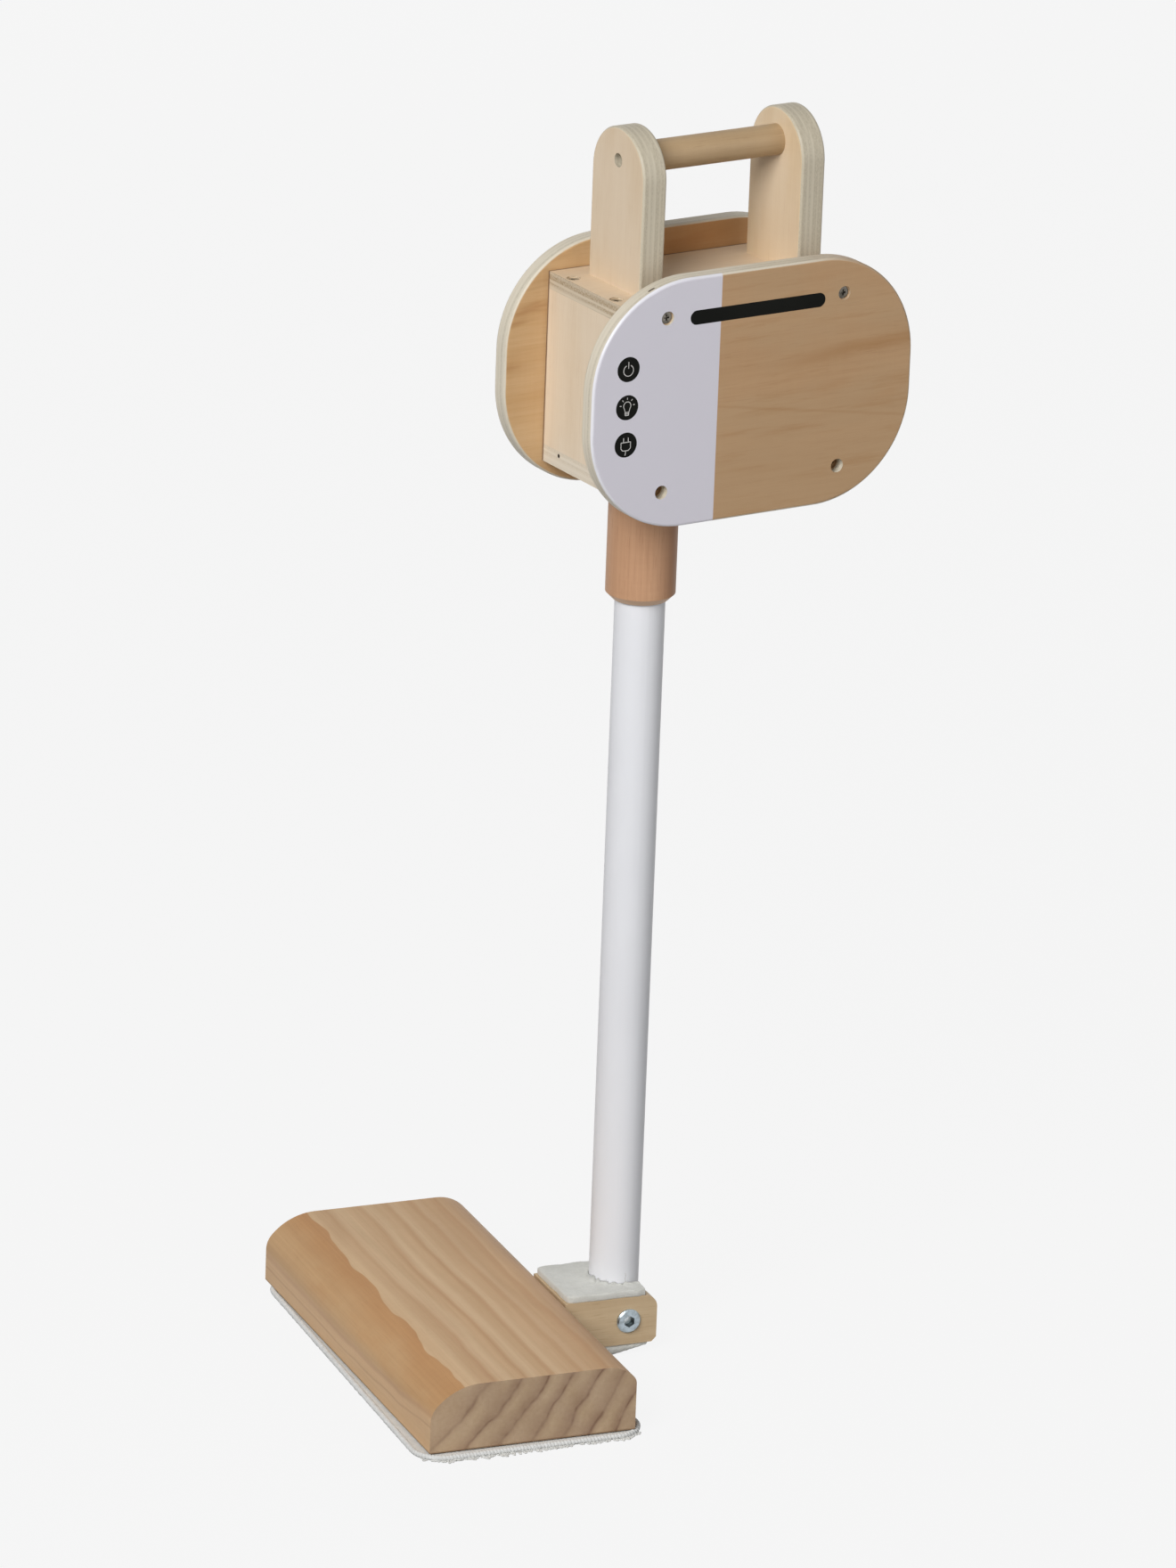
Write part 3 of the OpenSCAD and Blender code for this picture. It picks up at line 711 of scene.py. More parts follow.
def sawn_end(n, years, y):
    """The same seasons, made ragged by the saw, weak and dusky in places, and paler in front."""
    ragged = n.noise((2, 64, 64), 2, 0.5)
    end = n.ramp(n.math("FRACT", n.fit(ragged, 0.38, years)),
                 (0, 184, 158, 130), (0.20, 196, 171, 141), (0.45, 188, 162, 133),
                 (0.66, 172, 145, 119), (0.80, 161, 133, 109), (0.86, 134, 105, 84),
                 (0.90, 139, 110, 89), (0.95, 170, 143, 117), (1, 184, 158, 130))
    weak = n.step(n.noise((2, 46, 46), 3, 0.6), 0.40, 0.58)
    end = n.stain_and_shade(end, (183, 157, 131), weak, 0.60)
    dusky = n.step(n.noise((2, 34, 24), 2, 0.5), 0.50, 0.68)
    end = n.stain_and_shade(end, (170, 144, 127), dusky, 0.40)
    return n.stain_and_shade(end, (211, 183, 152), n.step(y, *mm(-20, -55)), 0.45)


print("rings round", HEART_Y, HEART_Z)

# %% [markdown]
# Over the nose the cut runs almost along one ring, which leaves a broad warm patch. It ends in a wavy shore
# on top, and in front in a sill that bows up towards the near end, with a darker line along it, a second
# one below, and paler wood under them. The lowest edge is darkened with painted shade from the pad.

# %% Pine foot
FOOT_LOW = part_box("foot_block")[0][2]
SHORE_Y, SILL_Z, SECOND_LINE = mm(-36.4, 17.2, 6.2)


def nose(n, x, y, z, top):
    """Shore: y + 0.0215 x past its line. Sill: z less 0.45 times x squared, over its height. Both wavy."""
    wavy = n.fit(n.noise((34, 50, 20), 1, 0.45), *mm(8, -4))
    shore = n.plus(y, wavy, n.fit(x, 0.0215, -SHORE_Y))
    bow = n.math("POWER", n.most(x, 0), 2)
    sill = n.less(n.fit(wavy, 0.4, z), n.fit(bow, 0.45, SILL_Z))
    warm = n.mix(n.step(shore, *mm(-18, -1)), (206, 168, 124), (196, 147, 97))
    blotch = n.step(n.noise((16, 40, 40), 3, 0.6), 0.42, 0.66)
    warm = n.stain_and_shade(warm, (201, 155, 106), blotch, 0.55)
    side = n.mix(n.step(shore, *mm(0.3, -0.3)), top, warm)
    front = n.step(n.times(n.parts(n.facing)[1], -1), 0.6, 0.95)
    side = n.stain_and_shade(side, (229, 193, 151), n.step(sill, *mm(4, -2)), front, 0.75)
    upper = n.step(n.size(sill), 2.6 * MM, 0)
    lower = n.step(n.size(n.plus(sill, SECOND_LINE)), 1.1 * MM, 0)
    return n.stain_and_shade(side, (190, 146, 112), n.most(upper, lower), front, 0.45)


def pine():
    n = new_material("pine")
    x, from_heart, over_heart = own_directions(n, (0, HEART_Y, HEART_Z), (1, 0, 0), ABOVE)
    y, z = n.plus(from_heart, HEART_Y), n.plus(over_heart, HEART_Z)
    years = ring_years(n)
    season = n.math("FRACT", years)
    side = nose(n, x, y, z, long_side(n, years, season, y))
    at_end = n.step(n.size(n.parts(n.facing)[0]), 0.75, 0.95)
    colour = n.mix(at_end, side, sawn_end(n, years, y))
    grain = n.group(GRAIN, Pale=WHITE, Dark=(230, 224, 216), Figure=1, Pores=0.25)
    colour = n.mix(1, colour, grain["Color"], "MULTIPLY")
    # painted shade: the lowest edge is darkened as the pad's shadow
    pad_shadow = n.step(z, FOOT_LOW + 1 * MM, FOOT_LOW + 0.2 * MM)
    colour = n.stain_and_shade(colour, (112, 84, 58), pad_shadow, 0.60)
    return lacquer(n, colour, n.less(grain["Height"], season), 0.50, 0.06)


dress({"foot_block": pine()})

# %% [markdown]
# A sprayed coat has a faint orange-peel skin and small changes of tone and gloss. One group serves the
# pole, the black print and the pictograms.

# %% Paint and print
SKIN, g, g_in, g_out = new_group("paint_skin", "Place v, Paint c, Worn c, Amount f",
                                 "Color c, Roughness f, Height f")
cloud = g.noise((26, 26, 9), 3, 0.5)
peel = g.noise((900, 900, 600), 2, 0.5)
paint = g.stain_and_shade(g_in["Paint"], g_in["Worn"], g.step(cloud, 0.35, 0.75), g_in["Amount"])
g.give(g_out, Color=paint, Roughness=g.fit(cloud, 0.16, 0.36), Height=peel)


def painted(name, paint, worn, amount, shine=0.5):
    n = new_material(name)
    n.place = n.here()
    skin = n.group(SKIN, Paint=paint, Worn=worn, Amount=amount)
    return coat(n, skin["Color"], skin["Roughness"], skin["Height"], 0.05, 0.3 * MM,
                Specular_IOR_Level=shine)


BLACK_INK = painted("black_ink", (15, 16, 13), (22, 22, 19), 0.8, 0.06)
LINE_INK = painted("line_ink", (216, 214, 210), (197, 195, 191), 0.6)
dress({"pole": painted("white_paint", (236, 237, 241), (229, 230, 234), 0.8, 0.25)})

# %% [markdown]
# The screws and the pivot bolt are zinc plated steel, with a thin bluish or straw bloom. The lower panel
# screws are darker with painted shade deep in their holes, and those in the top board are brighter with
# painted light. The pivot's hexagon has painted shade on its walls and a painted highlight on its floor.
# The tape is nylon with a field of tiny hooks.

# %% Zinc and nylon
SOCKET_R, SOCKET_FLOOR, SHADE_BELOW = mm(3.6, 2.6, 500)
SCREW_TONES = ((126, 121, 113), (84, 80, 73))


def zinc(name, bright, bloom, shade_below=0, socket=0):
    n = new_material(name)
    n.place = n.here()
    mottle = n.noise((420, 420, 420), 3, 0.6)
    fine = n.noise((3200, 3200, 900), 2, 0.6)
    colour = n.mix(n.step(mottle, 0.36, 0.66), bright, bloom)
    if shade_below:
        # painted shade: screws below this height sit deep in their holes, and are darkened as if in shade
        deep = n.step(n.parts(n.place)[2], shade_below + 1 * MM, shade_below - 1 * MM)
        colour = n.stain_and_shade(colour, (118, 92, 66), deep)
    if socket:
        around = n.vec("SUBTRACT", n.place, (0, POLE_Y, PIVOT_Z))
        around = n.vec("LENGTH", n.vec("MULTIPLY", around, (0, 1, 1)))
        flat = n.size(n.parts(n.here("Normal"))[0])
        # painted shade: the walls of the hexagon socket are darkened
        wall = n.step(around, socket + 0.2 * MM, socket)
        colour = n.stain_and_shade(colour, (34, 50, 50), n.step(flat, 0.6, 0.3), wall, 0.85)
        # painted highlight: the floor of the hexagon socket is made near white
        base = n.step(around, SOCKET_FLOOR + 0.1 * MM, SOCKET_FLOOR)
        colour = n.stain_and_shade(colour, (246, 250, 252), n.step(flat, 0.6, 0.8), base)
    return coat(n, colour, n.fit(fine, 0.24, 0.22), fine, 0.12, 0.2 * MM, Metallic=1)


def hook_nylon():
    n = new_material("nylon_hooks")
    hooks = n.add("TexVoronoi", {"Vector": n.here(), "Scale": 900}).outputs["Distance"]
    field = n.mix(hooks, (228, 227, 222), (196, 195, 188))
    return coat(n, field, 0.45, hooks, 0.6, 0.6 * MM)


PLATED = zinc("plated_zinc", (176, 188, 196), (150, 160, 164), socket=SOCKET_R)
SCREW_STEEL = zinc("screw_steel", *SCREW_TONES)
# painted light: a lighter copy of the screw steel, for the screws in the top board, which face the light
LIT_SCREW_STEEL = zinc("lit_screw_steel", (202, 196, 184), (158, 150, 136))
SHADED_SUNK_STEEL = zinc("shaded_sunk_steel", *SCREW_TONES, shade_below=SHADE_BELOW)
screws = [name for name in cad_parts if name.endswith("_screws")]
dress({node: SHADED_SUNK_STEEL if "panel" in node else SCREW_STEEL for node in screws})
dress({"top_board_screws": LIT_SCREW_STEEL, "pivot_sleeve": PLATED, "pivot_bolt": PLATED,
       "hook_tape": hook_nylon()})

# %% [markdown]
# Felt and terry are both fibre: fine noise at two sizes. The loops of the terry are modelled further down,
# so its material only needs the yarn.

# %% Nap of felt and terry
NAP, g, g_in, g_out = new_group("nap", "Place v, Pale c, Shade c, Fibre f", "Color c, Height f")
g.place = g.add("VectorMath", {0: g.place, "Scale": g_in["Fibre"]}, operation="SCALE").outputs[0]
tangle = g.noise((1, 1, 1), 4, 0.7, 1.2)
tufts = g.noise((0.16, 0.16, 0.16), 3, 0.6)
mixed = g.plus(g.times(tangle, 0.6), g.times(tufts, 0.4))
g.give(g_out, Color=g.mix(g.step(mixed, 0.30, 0.66), g_in["Shade"], g_in["Pale"]), Height=mixed)


def fibre(name, pale, shade, size, bump, sheen):
    n = new_material(name)
    n.place = n.here()
    nap = n.group(NAP, Pale=pale, Shade=shade, Fibre=size)
    return coat(n, nap["Color"], 0.92, nap["Height"], bump, 0.8 * MM, Sheen_Weight=sheen,
                Specular_IOR_Level=0.15)


FELT = fibre("felt", (223, 223, 217), (207, 207, 200), 1500, 0.45, 0.25)
TERRY = fibre("terry", (228, 228, 225), (209, 208, 203), 1300, 0.40, 0.10)
THREAD = fibre("overlock_thread", (227, 228, 227), (208, 208, 205), 2600, 0.25, 0.05)
print("fibre materials:", FELT.name, TERRY.name, THREAD.name)

# %% [markdown]
# The prints are films of ink a few hundredths of a millimetre thick. A round button and the long bar are
# the same shape: all points within one radius of a short spine. The rim turns down into the panel, so that
# the film is closed against the wood.

# %% Ink films
FILM, SPOT_POINTS = 0.05 * MM, 96
BUTTON_BACK, BUTTON_R = mm(-74.6, 6.5)
BUTTONS = {"power": 21.8 * MM, "lamp": 1.9 * MM, "plug": -17.6 * MM}


def on_panel(lift, back, height):
    """Place on the near panel, from its outer face and its middle, turned with the body."""
    return on_body(PANEL_FACE + lift, PANEL_BACK + back, PANEL_HIGH + height)


def ink_spot(name, back, height, half_spine, radius):
    """Film: spine end + share of the radius all the way round, with the rim falling below the face."""
    turn = (np.arange(SPOT_POINTS) + 0.5) * (2 * pi / SPOT_POINTS)
    share = np.array([0, 0.55, 0.93, 0.985, 1, 1])[:, None]
    lift = FILM * np.array([1, 1, 1, 0.8, 0.3, -0.6])[:, None]
    x = half_spine * np.sign(np.cos(turn)) + share * radius * np.cos(turn)
    y = share * radius * np.sin(turn)
    points = on_panel(lift + 0 * x, back + x, height + y)
    return surface(name, points, BLACK_INK, "head", close_columns=True, weld=1e-7)


for name, height in BUTTONS.items():
    ink_spot("button_" + name, BUTTON_BACK, height, 0, BUTTON_R)
bar = ink_spot("black_bar", *mm(1, 43.8, 36.3, 3.75))
print("ink films:", len(BUTTONS) + 1, "faces in the bar:", len(bar.data.polygons))

# %% [markdown]
# The pictograms are drawn with one pen. Each stroke is a path in button radii, and leaves a low arch of ink
# that narrows to nothing at its ends. All the strokes of one button make one mesh.

# %% Pen strokes
PEN, STEPS, INK_SUNK = 0.52 * MM, 60, 0.02 * MM


def stroke_points(path):
    """Path of shape (STEPS, 2): five points across it, on a low arch, narrowing to nothing at its ends."""
    way = unit(np.gradient(path, axis=0))
    side = np.stack([-way[:, 1], way[:, 0]], -1)
    width = PEN / 2 * np.sqrt(1 - np.linspace(-1, 1, STEPS) ** 40)
    across = np.array([-1, -0.7, 0, 0.7, 1])
    flat = path[:, None] + (side * width[:, None])[:, None] * across[None, :, None]
    lift = FILM * (1 + 1.1 * (1 - across ** 2)) - INK_SUNK
    return np.concatenate([flat, np.broadcast_to(lift[None, :, None], flat.shape[:2] + (1,))], -1)


def line(x0, y0, x1, y1):
    return np.linspace((x0, y0), (x1, y1), STEPS)


def arc(x, y, radius, start, end):
    a = np.radians(np.linspace(start, end, STEPS))
    return np.stack([x + radius * np.cos(a), y + radius * np.sin(a)], -1)


def even_steps(knots, count, closed=False):
    """Points at equal steps of length along the straight lines between knots, and the whole length."""
    gone = np.concatenate([[0], np.cumsum(np.linalg.norm(np.diff(knots, axis=0), axis=1))])
    at = np.linspace(0, gone[-1], count, endpoint=not closed)
    return np.stack([np.interp(at, gone, knots[:, k]) for k in (0, 1)], -1), gone[-1]


def bend(*corners):
    """Path through corner points, with each corner cut round by averaging five neighbours."""
    path = even_steps(np.array(corners, float), STEPS)[0]
    inner = (path[:-4] + path[1:-3] + path[2:-2] + path[3:-1] + path[4:]) / 5
    return np.concatenate([path[:2], inner, path[-2:]])


RAYS, RAY_IN, RAY_OUT, GLASS_Y = np.radians([5, 48, 90, 132, 175]), 0.52, 0.68, 0.13
lamp_rays = [line(RAY_IN * cos(a), GLASS_Y + RAY_IN * sin(a), RAY_OUT * cos(a), GLASS_Y + RAY_OUT * sin(a))
             for a in RAYS]
glass = bend((0.17, -0.36), *arc(0, 0.14, 0.33, -40, 220)[::2], *line(-0.25, -0.07, -0.17, -0.36)[::4])
pictograms = {
    "power": [arc(0, -0.09, 0.44, 112, 428), line(0, 0.62, 0, 0.06)],
    "lamp": [glass, bend((-0.17, -0.36), (-0.15, -0.62), (0.15, -0.62), (0.17, -0.36)),
             line(-0.19, -0.37, 0.19, -0.37), line(-0.15, -0.50, 0.15, -0.50)] + lamp_rays,
    "plug": [bend((-0.43, 0.20), (-0.43, -0.28), (-0.26, -0.46), (0.26, -0.46), (0.43, -0.28),
                  (0.43, 0.20)),
             line(-0.46, 0.21, 0.46, 0.21), line(-0.21, 0.58, -0.21, 0.22), line(0.21, 0.58, 0.21, 0.22),
             bend((0, -0.46), (0, -0.66), (-0.04, -0.84))],
}
for name, strokes in pictograms.items():
    flat = np.stack([stroke_points(path * BUTTON_R) for path in strokes])
    points = on_panel(flat[..., 2], BUTTON_BACK + flat[..., 0], BUTTONS[name] + flat[..., 1])
    surface("pictogram_" + name, points, LINE_INK, "head", weld=1e-8)
print("pictogram strokes:", {name: len(strokes) for name, strokes in pictograms.items()})

# %% [markdown]
# The mop pad is a sheet of cotton terry that hook tape holds under the foot: a rounded rectangle with a
# smooth back, and below it smoothed random bumps for loops. Both sides meet at the cut edge, which the
# overlock thread hides.

# %% Mop pad
PAD_X, PAD_Y, PAD_R, PAD_SHIFT = mm(123.4, 58.7, 15, 2.1)
PAD_LOW, PAD_MID, PAD_HIGH = mm(0.15, 1.6, 2.55)
EDGE_ROUND, LOOP_HIGH = mm(1.6, 0.17)
ROWS, COLUMNS, CROWDED = 104, 216, 0.995 * pi / 2


def laid(x, y):
    """Cloth is cut and laid by hand: moved along X, wider at its near end, and set back at its far end."""
    near = (x + PAD_X) / (2 * PAD_X)
    return x + PAD_SHIFT - 0.012 * y * near, y * (1 + 0.050 * near) + 2.3 * MM * (1 - near)


def half_width(y, half_x, half_y, corner):
    """Half width of a rounded rectangle: full between the corners, and a circle's chord beside them."""
    into = np.clip(np.abs(y) - (half_y - corner), 0, corner)
    return half_x - corner + np.sqrt(corner ** 2 - into ** 2)


even = np.linspace(-1, 1, ROWS)[:, None]
y = PAD_Y * (0.35 * np.sin(CROWDED * even) / sin(CROWDED) + 0.65 * even)
x = np.linspace(-1, 1, COLUMNS)[None, :] * half_width(y, PAD_X, PAD_Y, PAD_R)
y = y + 0 * x
rim_gap = np.minimum(half_width(y, PAD_X, PAD_Y, PAD_R) - np.abs(x), PAD_Y - np.abs(y))
swell = np.sqrt(1 - (1 - np.clip(rim_gap / EDGE_ROUND, 0, 1)) ** 2)
loops = np.clip(soft_random((ROWS, COLUMNS), 1, 11), -1.6, 2.2) + 1.6
back_z = PAD_MID + swell * (PAD_HIGH - PAD_MID)
loop_z = PAD_MID - swell * (PAD_MID - PAD_LOW - LOOP_HIGH * loops)
x, y = laid(x, y)
skin = np.stack([np.stack([x, y, back_z], -1), np.stack([x, y, loop_z], -1)[:, ::-1]])
pad = surface("mop_sheet", skin, TERRY, "foot", weld=1e-6)
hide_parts("mop_pad")
print("mop sheet faces:", len(pad.data.polygons))

# %% [markdown]
# An overlock machine wraps thread round the cut edge, so the rim looks like a thin rope: a round tube along
# the outline, whose radius rises and falls along a slanted wrap.

# %% Overlocked rim
RIM_R, RIM_Z, RIM_INSET = mm(1.5, 1.72, 0.25)
WRAPS, PER_WRAP, ROUND = 400, 8, 14


def outline(half_x, half_y, corner, count):
    """Rounded rectangle at equal steps: its points, the directions outward and ahead, and its length."""
    middle = np.array([[1, 1], [-1, 1], [-1, -1], [1, -1]]) * (half_x - corner, half_y - corner)
    turn = np.linspace(0, pi / 2, 40)[None, :] + (pi / 2 * np.arange(4))[:, None]
    knots = (middle[:, None] + corner * np.stack([np.cos(turn), np.sin(turn)], -1)).reshape(-1, 2)
    path, length = even_steps(np.concatenate([knots, knots[:1]]), count, closed=True)
    way = unit(np.roll(path, -1, 0) - np.roll(path, 1, 0))
    return path, np.stack([way[:, 1], -way[:, 0]], -1), way, length


path, outward, ahead, length = outline(PAD_X - RIM_INSET, PAD_Y - RIM_INSET, PAD_R, WRAPS * PER_WRAP)
path = np.stack(laid(path[:, 0], path[:, 1]), -1)
s = np.arange(WRAPS * PER_WRAP)[:, None] / PER_WRAP
theta = np.linspace(0, 2 * pi, ROUND, endpoint=False)[None, :]
wrap = np.abs(np.sin(pi * (s + theta / (2 * pi))))
slack = 0.04 * MM * soft_random((WRAPS * PER_WRAP, 1), 6, 5)
radius = RIM_R * (0.80 + 0.25 * wrap ** 0.7) + slack
flat = path[:, None] + outward[:, None] * (radius * np.cos(theta))[..., None]
height = RIM_Z + radius * np.sin(theta) * 0.98
rope = np.concatenate([flat, height[..., None]], -1)
rim = surface("overlock_rim", rope, THREAD, "foot", close_rows=True, close_columns=True, weld=1e-8)
print("rim length", round(length / MM), "mm, faces", len(rim.data.polygons))

# %% [markdown]
# Under the rim the terry shows its pile: short loops of yarn, some of them pulled, most of all at the end
# that is nearest here. Every loop is the same little tube with its own place, reach and lean.

# %% Pulled loops
LOOPS, LOOP_ROOT, LOOP_LOWEST = 900, 0.75 * MM, 0.48 * MM


def strands(paths, radius, sides=5):
    """Tubes round paths of shape (k, n, 3): a ring across each path, closing to a point at the ends."""
    way = unit(np.gradient(paths, axis=1))
    one = unit(np.cross(way, np.array([0.31, 0.17, 0.93])))
    two = np.cross(way, one)
    a = np.linspace(0, 2 * pi, sides, endpoint=False)
    ring = one[:, :, None] * np.cos(a)[:, None] + two[:, :, None] * np.sin(a)[:, None]
    t = np.linspace(-1, 1, paths.shape[1])
    taper = np.sqrt(np.clip(1 - t ** 6, 0, 1))[None, :, None, None]
    return paths[:, :, None] + ring * taper * np.asarray(radius).reshape(-1, 1, 1, 1)


def rooted(flat, height):
    """Places or directions in the plane, at one height, with room for the steps along each loop."""
    return np.concatenate([flat, np.full((len(flat), 1), height)], -1)[:, None]


rng = np.random.default_rng(21)
at = rng.integers(0, len(path), LOOPS)
near_end = path[at, 0] > PAD_X + PAD_SHIFT - 6 * MM
reach = np.where(near_end, rng.gamma(1.7, 0.55, LOOPS), rng.uniform(-1.1, -0.5, LOOPS)).clip(-1.1, 3.2) * MM
span = rng.uniform(0.5, 1.3, LOOPS) * MM
lean = rng.normal(0, 0.45, LOOPS)[:, None, None]
t = np.linspace(0, 1, 8)[None, :, None]
bulge = np.sin(pi * t)
flat_out = -0.5 * MM + bulge * (RIM_R + 0.3 * MM + reach[:, None, None])
drop = -0.25 * MM * bulge + 0.22 * MM * rng.normal(size=(LOOPS, 1, 1)) * bulge
sideways = span[:, None, None] * np.cos(pi * t) + lean * flat_out
loop_path = (rooted(path[at], LOOP_ROOT) + rooted(outward[at], 0) * flat_out
             + rooted(ahead[at], 0) * sideways)
loop_path[..., 2:] = np.maximum(loop_path[..., 2:] + drop, LOOP_LOWEST)
yarn = strands(loop_path, rng.uniform(0.30, 0.46, LOOPS) * MM)
pile = surface("pulled_loops", yarn, TERRY, "foot", close_columns=True, weld=1e-7)
print("loops:", LOOPS, "faces", len(pile.data.polygons), "longest", round(reach.max() / MM, 2), "mm")

# %% [markdown]
# A felt pad with a U cut out lies on the pivot block, so that the pole doesn't knock when it comes upright.
# Its inner edge has been pushed up into a ragged lip. Its cross section is carried along the U: inner edge
# on a circle round the pole, outer edge on a rectangle with eased corners, a superellipse of a high power.

# %% Top felt
BLOCK_X, FELT_FRONT, FELT_REAR = mm(22.3, 57.4, 100.5)
FELT_LOW, FELT_HIGH, CUT_R = mm(32.4, 36.2, 13.2)
LEG, BEND, POWER = 16, 90, 24


def felt_edge(leg_x, reach):
    """Outline of the U: straight legs behind the pole's middle, and rays of the given reach in front."""
    leg = np.linspace(FELT_REAR - POLE_Y, 0, LEG, endpoint=False)
    ones = np.ones(LEG)
    return np.concatenate([np.stack([-leg_x * ones, leg], -1), np.reshape(reach, (-1, 1)) * ray,
                           np.stack([leg_x * ones, leg[::-1]], -1)]) + (0, POLE_Y)


turn = np.linspace(pi, 2 * pi, BEND)
ray = np.stack([np.cos(turn), np.sin(turn)], -1)
to_edge = (np.abs(ray / (BLOCK_X, POLE_Y - FELT_FRONT)) ** POWER).sum(1) ** (-1 / POWER)
inner, outer = felt_edge(CUT_R, CUT_R), felt_edge(BLOCK_X, to_edge)
count = len(inner)
ragged = soft_random((count, 1), 3, 31)
ruffle = soft_random((count, 1), 9, 32)
v = np.concatenate([np.linspace(0, 1, 15), np.ones(3), np.linspace(1, 0, 7), [0]])[None]
level = np.concatenate([np.ones(13), [0.99, 0.93, 0.80, 0.5, 0.15], np.zeros(7), [0.5]])[None]
bow = np.concatenate([np.zeros(14), [0.06, 0.24, 0.30, 0.20], np.zeros(8)])[None] * MM
span = np.linalg.norm(outer - inner, axis=1)[:, None]
front_share = np.clip(np.sin(np.linspace(-0.25, 1.25, count) * pi), 0, 1)[:, None]
lip = (0.7 + 1.1 * front_share + 0.45 * ragged).clip(0.2, 2.6) * MM * np.exp(-v * span / (1.1 * MM)) * level
nap = 0.07 * MM * soft_random((count, v.shape[1]), 1, 33) * (level > 0.2)
out = (outer - inner) / span
reach_out = v * span + 0.16 * MM * ruffle * v ** 4 + bow
flat = inner[:, None] + out[:, None] * reach_out[..., None]
high = FELT_LOW + level * (FELT_HIGH - FELT_LOW) + lip + nap
section = np.concatenate([flat, high[..., None]], -1)
tips = [section[[k]].mean(1, keepdims=True) + 0 * section[[k]] for k in (0, -1)]
whole = np.concatenate([tips[0], section, tips[1]])
felt_top = surface("top_felt", whole, FELT, "foot", close_columns=True, weld=1e-7)
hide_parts("felt_top")

# %% [markdown]
# The same felt, thicker, is glued under the pivot block as a glide: sections from the middle of its top,
# over the rounded edge, to the middle of its underside, all the way round. Its rear end is thinner, so that
# it only touches the floor in front.

# %% Glide felt
GLIDE_X, GLIDE_Y, GLIDE_R, GLIDE_T = mm(21.8, 21.8, 3.2, 6.2)
GLIDE_MID, WORN_FROM, WORN_OVER = mm(82.3, 82, 22)
GLIDE_STEPS = 220
ring, away = outline(GLIDE_X, GLIDE_Y, GLIDE_R, GLIDE_STEPS)[:2]
towards_edge = np.array([1, 0.85, 0.6, 0.35, 0.15, 0.05, 0, 0])
inset = np.concatenate([towards_edge, towards_edge[::-1]])[None]
round_in = np.concatenate([np.zeros(6), [0.35, 0, 0, 0.35], np.zeros(6)])[None] * MM
depth = np.concatenate([np.ones(6), [0.93, 0.66, 0.33, 0.08], np.zeros(6)])[None]
hairy = 0.20 * MM * soft_random((GLIDE_STEPS, inset.size), 1, 41) * (inset == 0)
flat = ring[:, None] * (1 - inset)[..., None] - away[:, None] * (round_in - hairy)[..., None]
worn = 0.75 * np.clip((flat[..., 1] + GLIDE_MID - WORN_FROM) / WORN_OVER, 0, 1)
high = GLIDE_T * (1 - (1 - depth) * (1 - worn))
slab = np.concatenate([flat + (0, GLIDE_MID), high[..., None]], -1)
glide = surface("glide_felt", slab, FELT, "foot", close_rows=True, weld=1e-7)
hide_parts("felt_glide")
print("glide faces:", len(glide.data.polygons))

# %% [markdown]
# Loose hairs make felt look like felt at its edges. They are the same strands as the loops, thinner, rooted
# along the outline and the lip, each with a curl of its own, and none of them inside the pole.

# %% Loose hairs
HAIRS = 520
rng = np.random.default_rng(77)
pick = rng.integers(2, count - 2, HAIRS)
on_lip = rng.random(HAIRS) < 0.45
column = np.where(on_lip, rng.integers(0, 3, HAIRS), rng.integers(13, 17, HAIRS))
root = section[pick, column]
outwards = out[pick] * np.where(on_lip, 0.15, 1)[:, None]
spray = np.concatenate([outwards, rng.uniform(0.1, 0.9, (HAIRS, 1))], -1)
spray = unit(spray + rng.normal(0, 0.55, (HAIRS, 3)))
curl = rng.normal(0, 0.6, (HAIRS, 3))
long = rng.uniform(0.5, 1.5, HAIRS) * MM * np.where(on_lip, 1, 0.5)
t = np.linspace(-0.15, 1, 5)[None, :, None]
hair_path = root[:, None] + long[:, None, None] * (spray[:, None] * t + curl[:, None] * t ** 2 * 0.5)
hair_path[..., 2] = np.maximum(hair_path[..., 2], FELT_LOW + 0.2 * MM)
from_pole = hair_path[..., :2] - (0, POLE_Y)
gap = np.linalg.norm(from_pole, axis=-1, keepdims=True)
hair_path[..., :2] += from_pole / gap * np.maximum(CUT_R - gap, 0)
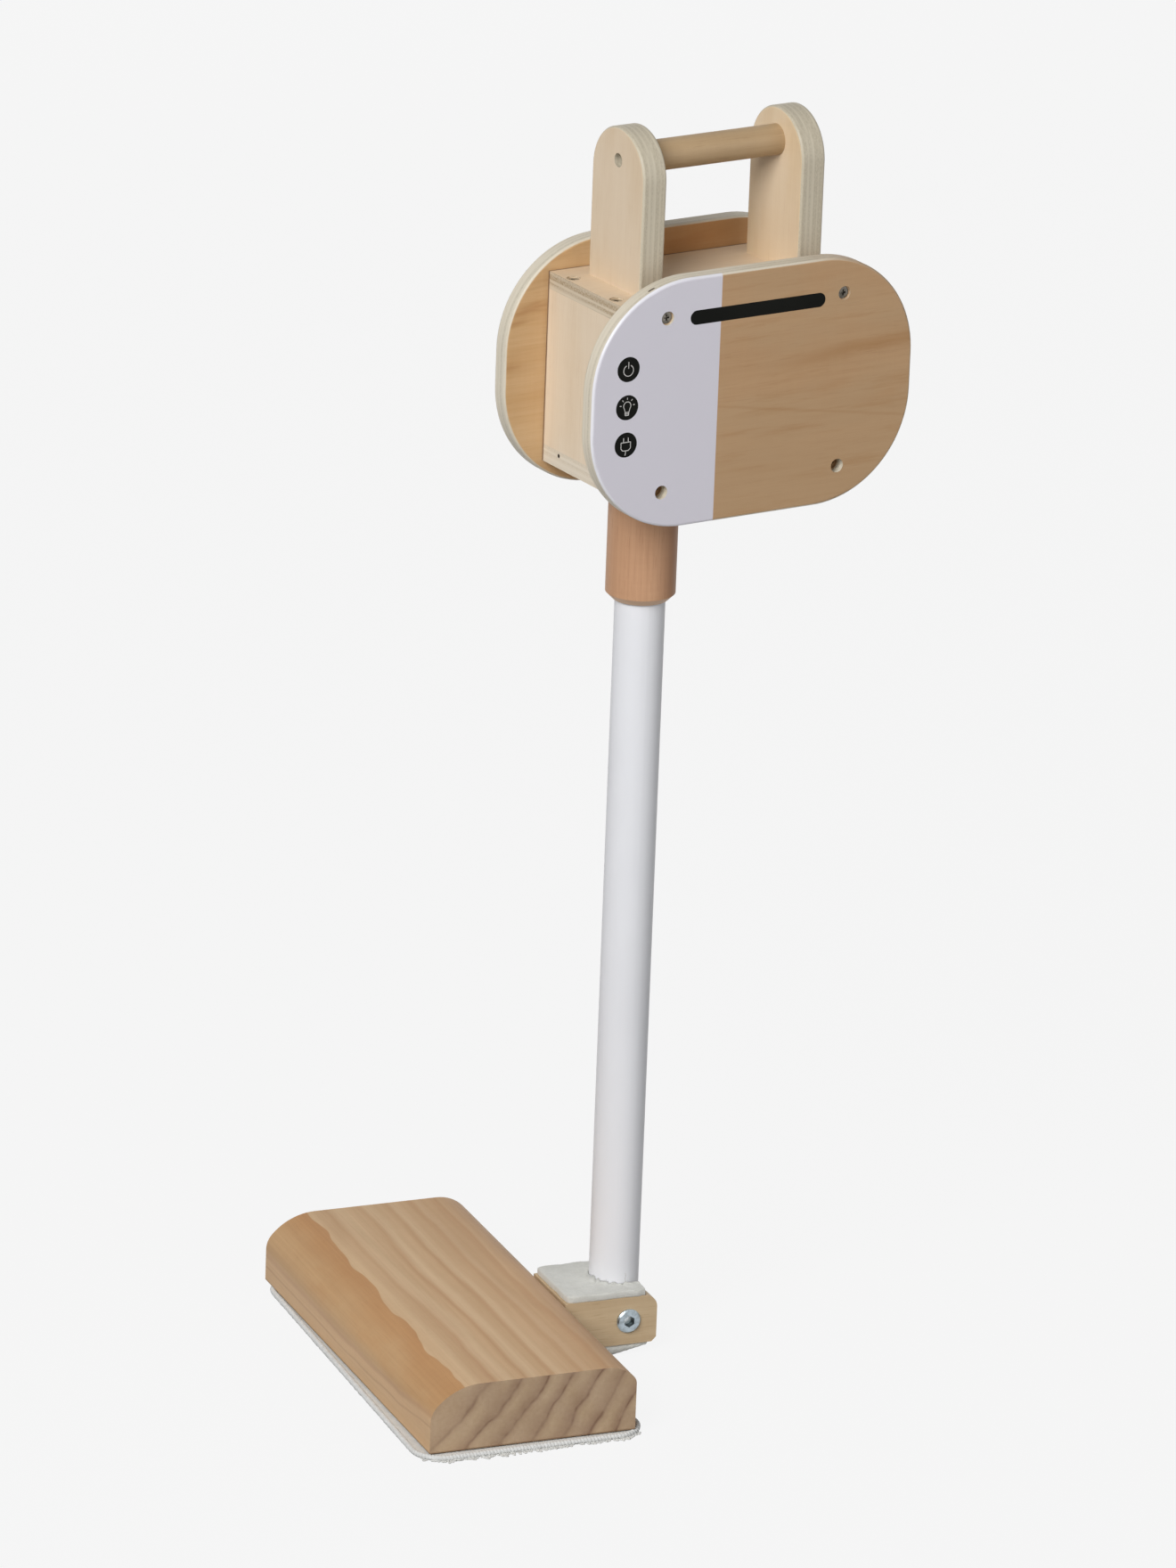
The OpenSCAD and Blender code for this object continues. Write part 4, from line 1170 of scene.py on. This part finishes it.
fuzz = strands(hair_path, rng.uniform(0.045, 0.08, HAIRS) * MM, 3)
hairs = surface("felt_hairs", fuzz, FELT, "foot", close_columns=True, weld=1e-8)
print("hairs:", HAIRS)

# %% [markdown]
# Two small marks of the maker are left: a brad in the front edge of the bottom board, in a dark hole, and a
# hairline in the paint at the foot of the pole.

# %% Brad and hairline
BRAD_SIDE, BRAD_HEIGHT, BOX_FRONT = mm(-21.3, 482, -38.5)
BRAD_WIDE, BRAD_TALL = mm(1, 1.1)
CRACK_AT, CRACK_Z, CRACK_HALF = radians(6), 39.8 * MM, 2.4 * MM
turn = np.linspace(0, 2 * pi, 28, endpoint=False)[None]
share = np.array([0, 0.5, 0.8, 1, 1])[:, None]
sunk = np.array([0.01, 0.012, 0.016, 0.02, -0.05])[:, None] * MM
points = on_body(BRAD_SIDE + BRAD_WIDE * share * np.cos(turn), BOX_FRONT - sunk + 0 * turn,
                 BRAD_HEIGHT + BRAD_TALL * share * np.sin(turn))
hole = painted("brad_hole", (56, 42, 30), (34, 26, 20), 1, 0.1)
brad = surface("sunk_brad", points, hole, "head", close_columns=True, weld=1e-8)

t = np.linspace(-1, 1, 24)[:, None]
aside = np.array([-1, -0.5, 0, 0.5, 1])[None]
swerve = (0.10 * np.sqrt(1 - t ** 8) * aside + 0.12 * np.sin(5 * t)) * MM
bearing = CRACK_AT + swerve / POLE_R
proud = POLE_R + (0.012 - 0.03 * aside ** 4) * MM + 0 * t
crack = np.stack([proud * np.cos(bearing), POLE_Y + proud * np.sin(bearing),
                  CRACK_Z + CRACK_HALF * t + 0 * aside], -1)
streak = painted("bare_streak", (150, 140, 128), (112, 102, 90), 1)
hairline = surface("paint_hairline", crack, streak, "pole", weld=1e-9)
print("marks:", brad.name, hairline.name)

# %% [markdown]
# Last, the size of what was made is printed beside the size of the CAD.

# %% Finish
new_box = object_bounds()
for label, box in (("CAD box", cad_box), ("visual box", new_box)):
    print(label, [[round(c, 4) for c in corner] for corner in box])
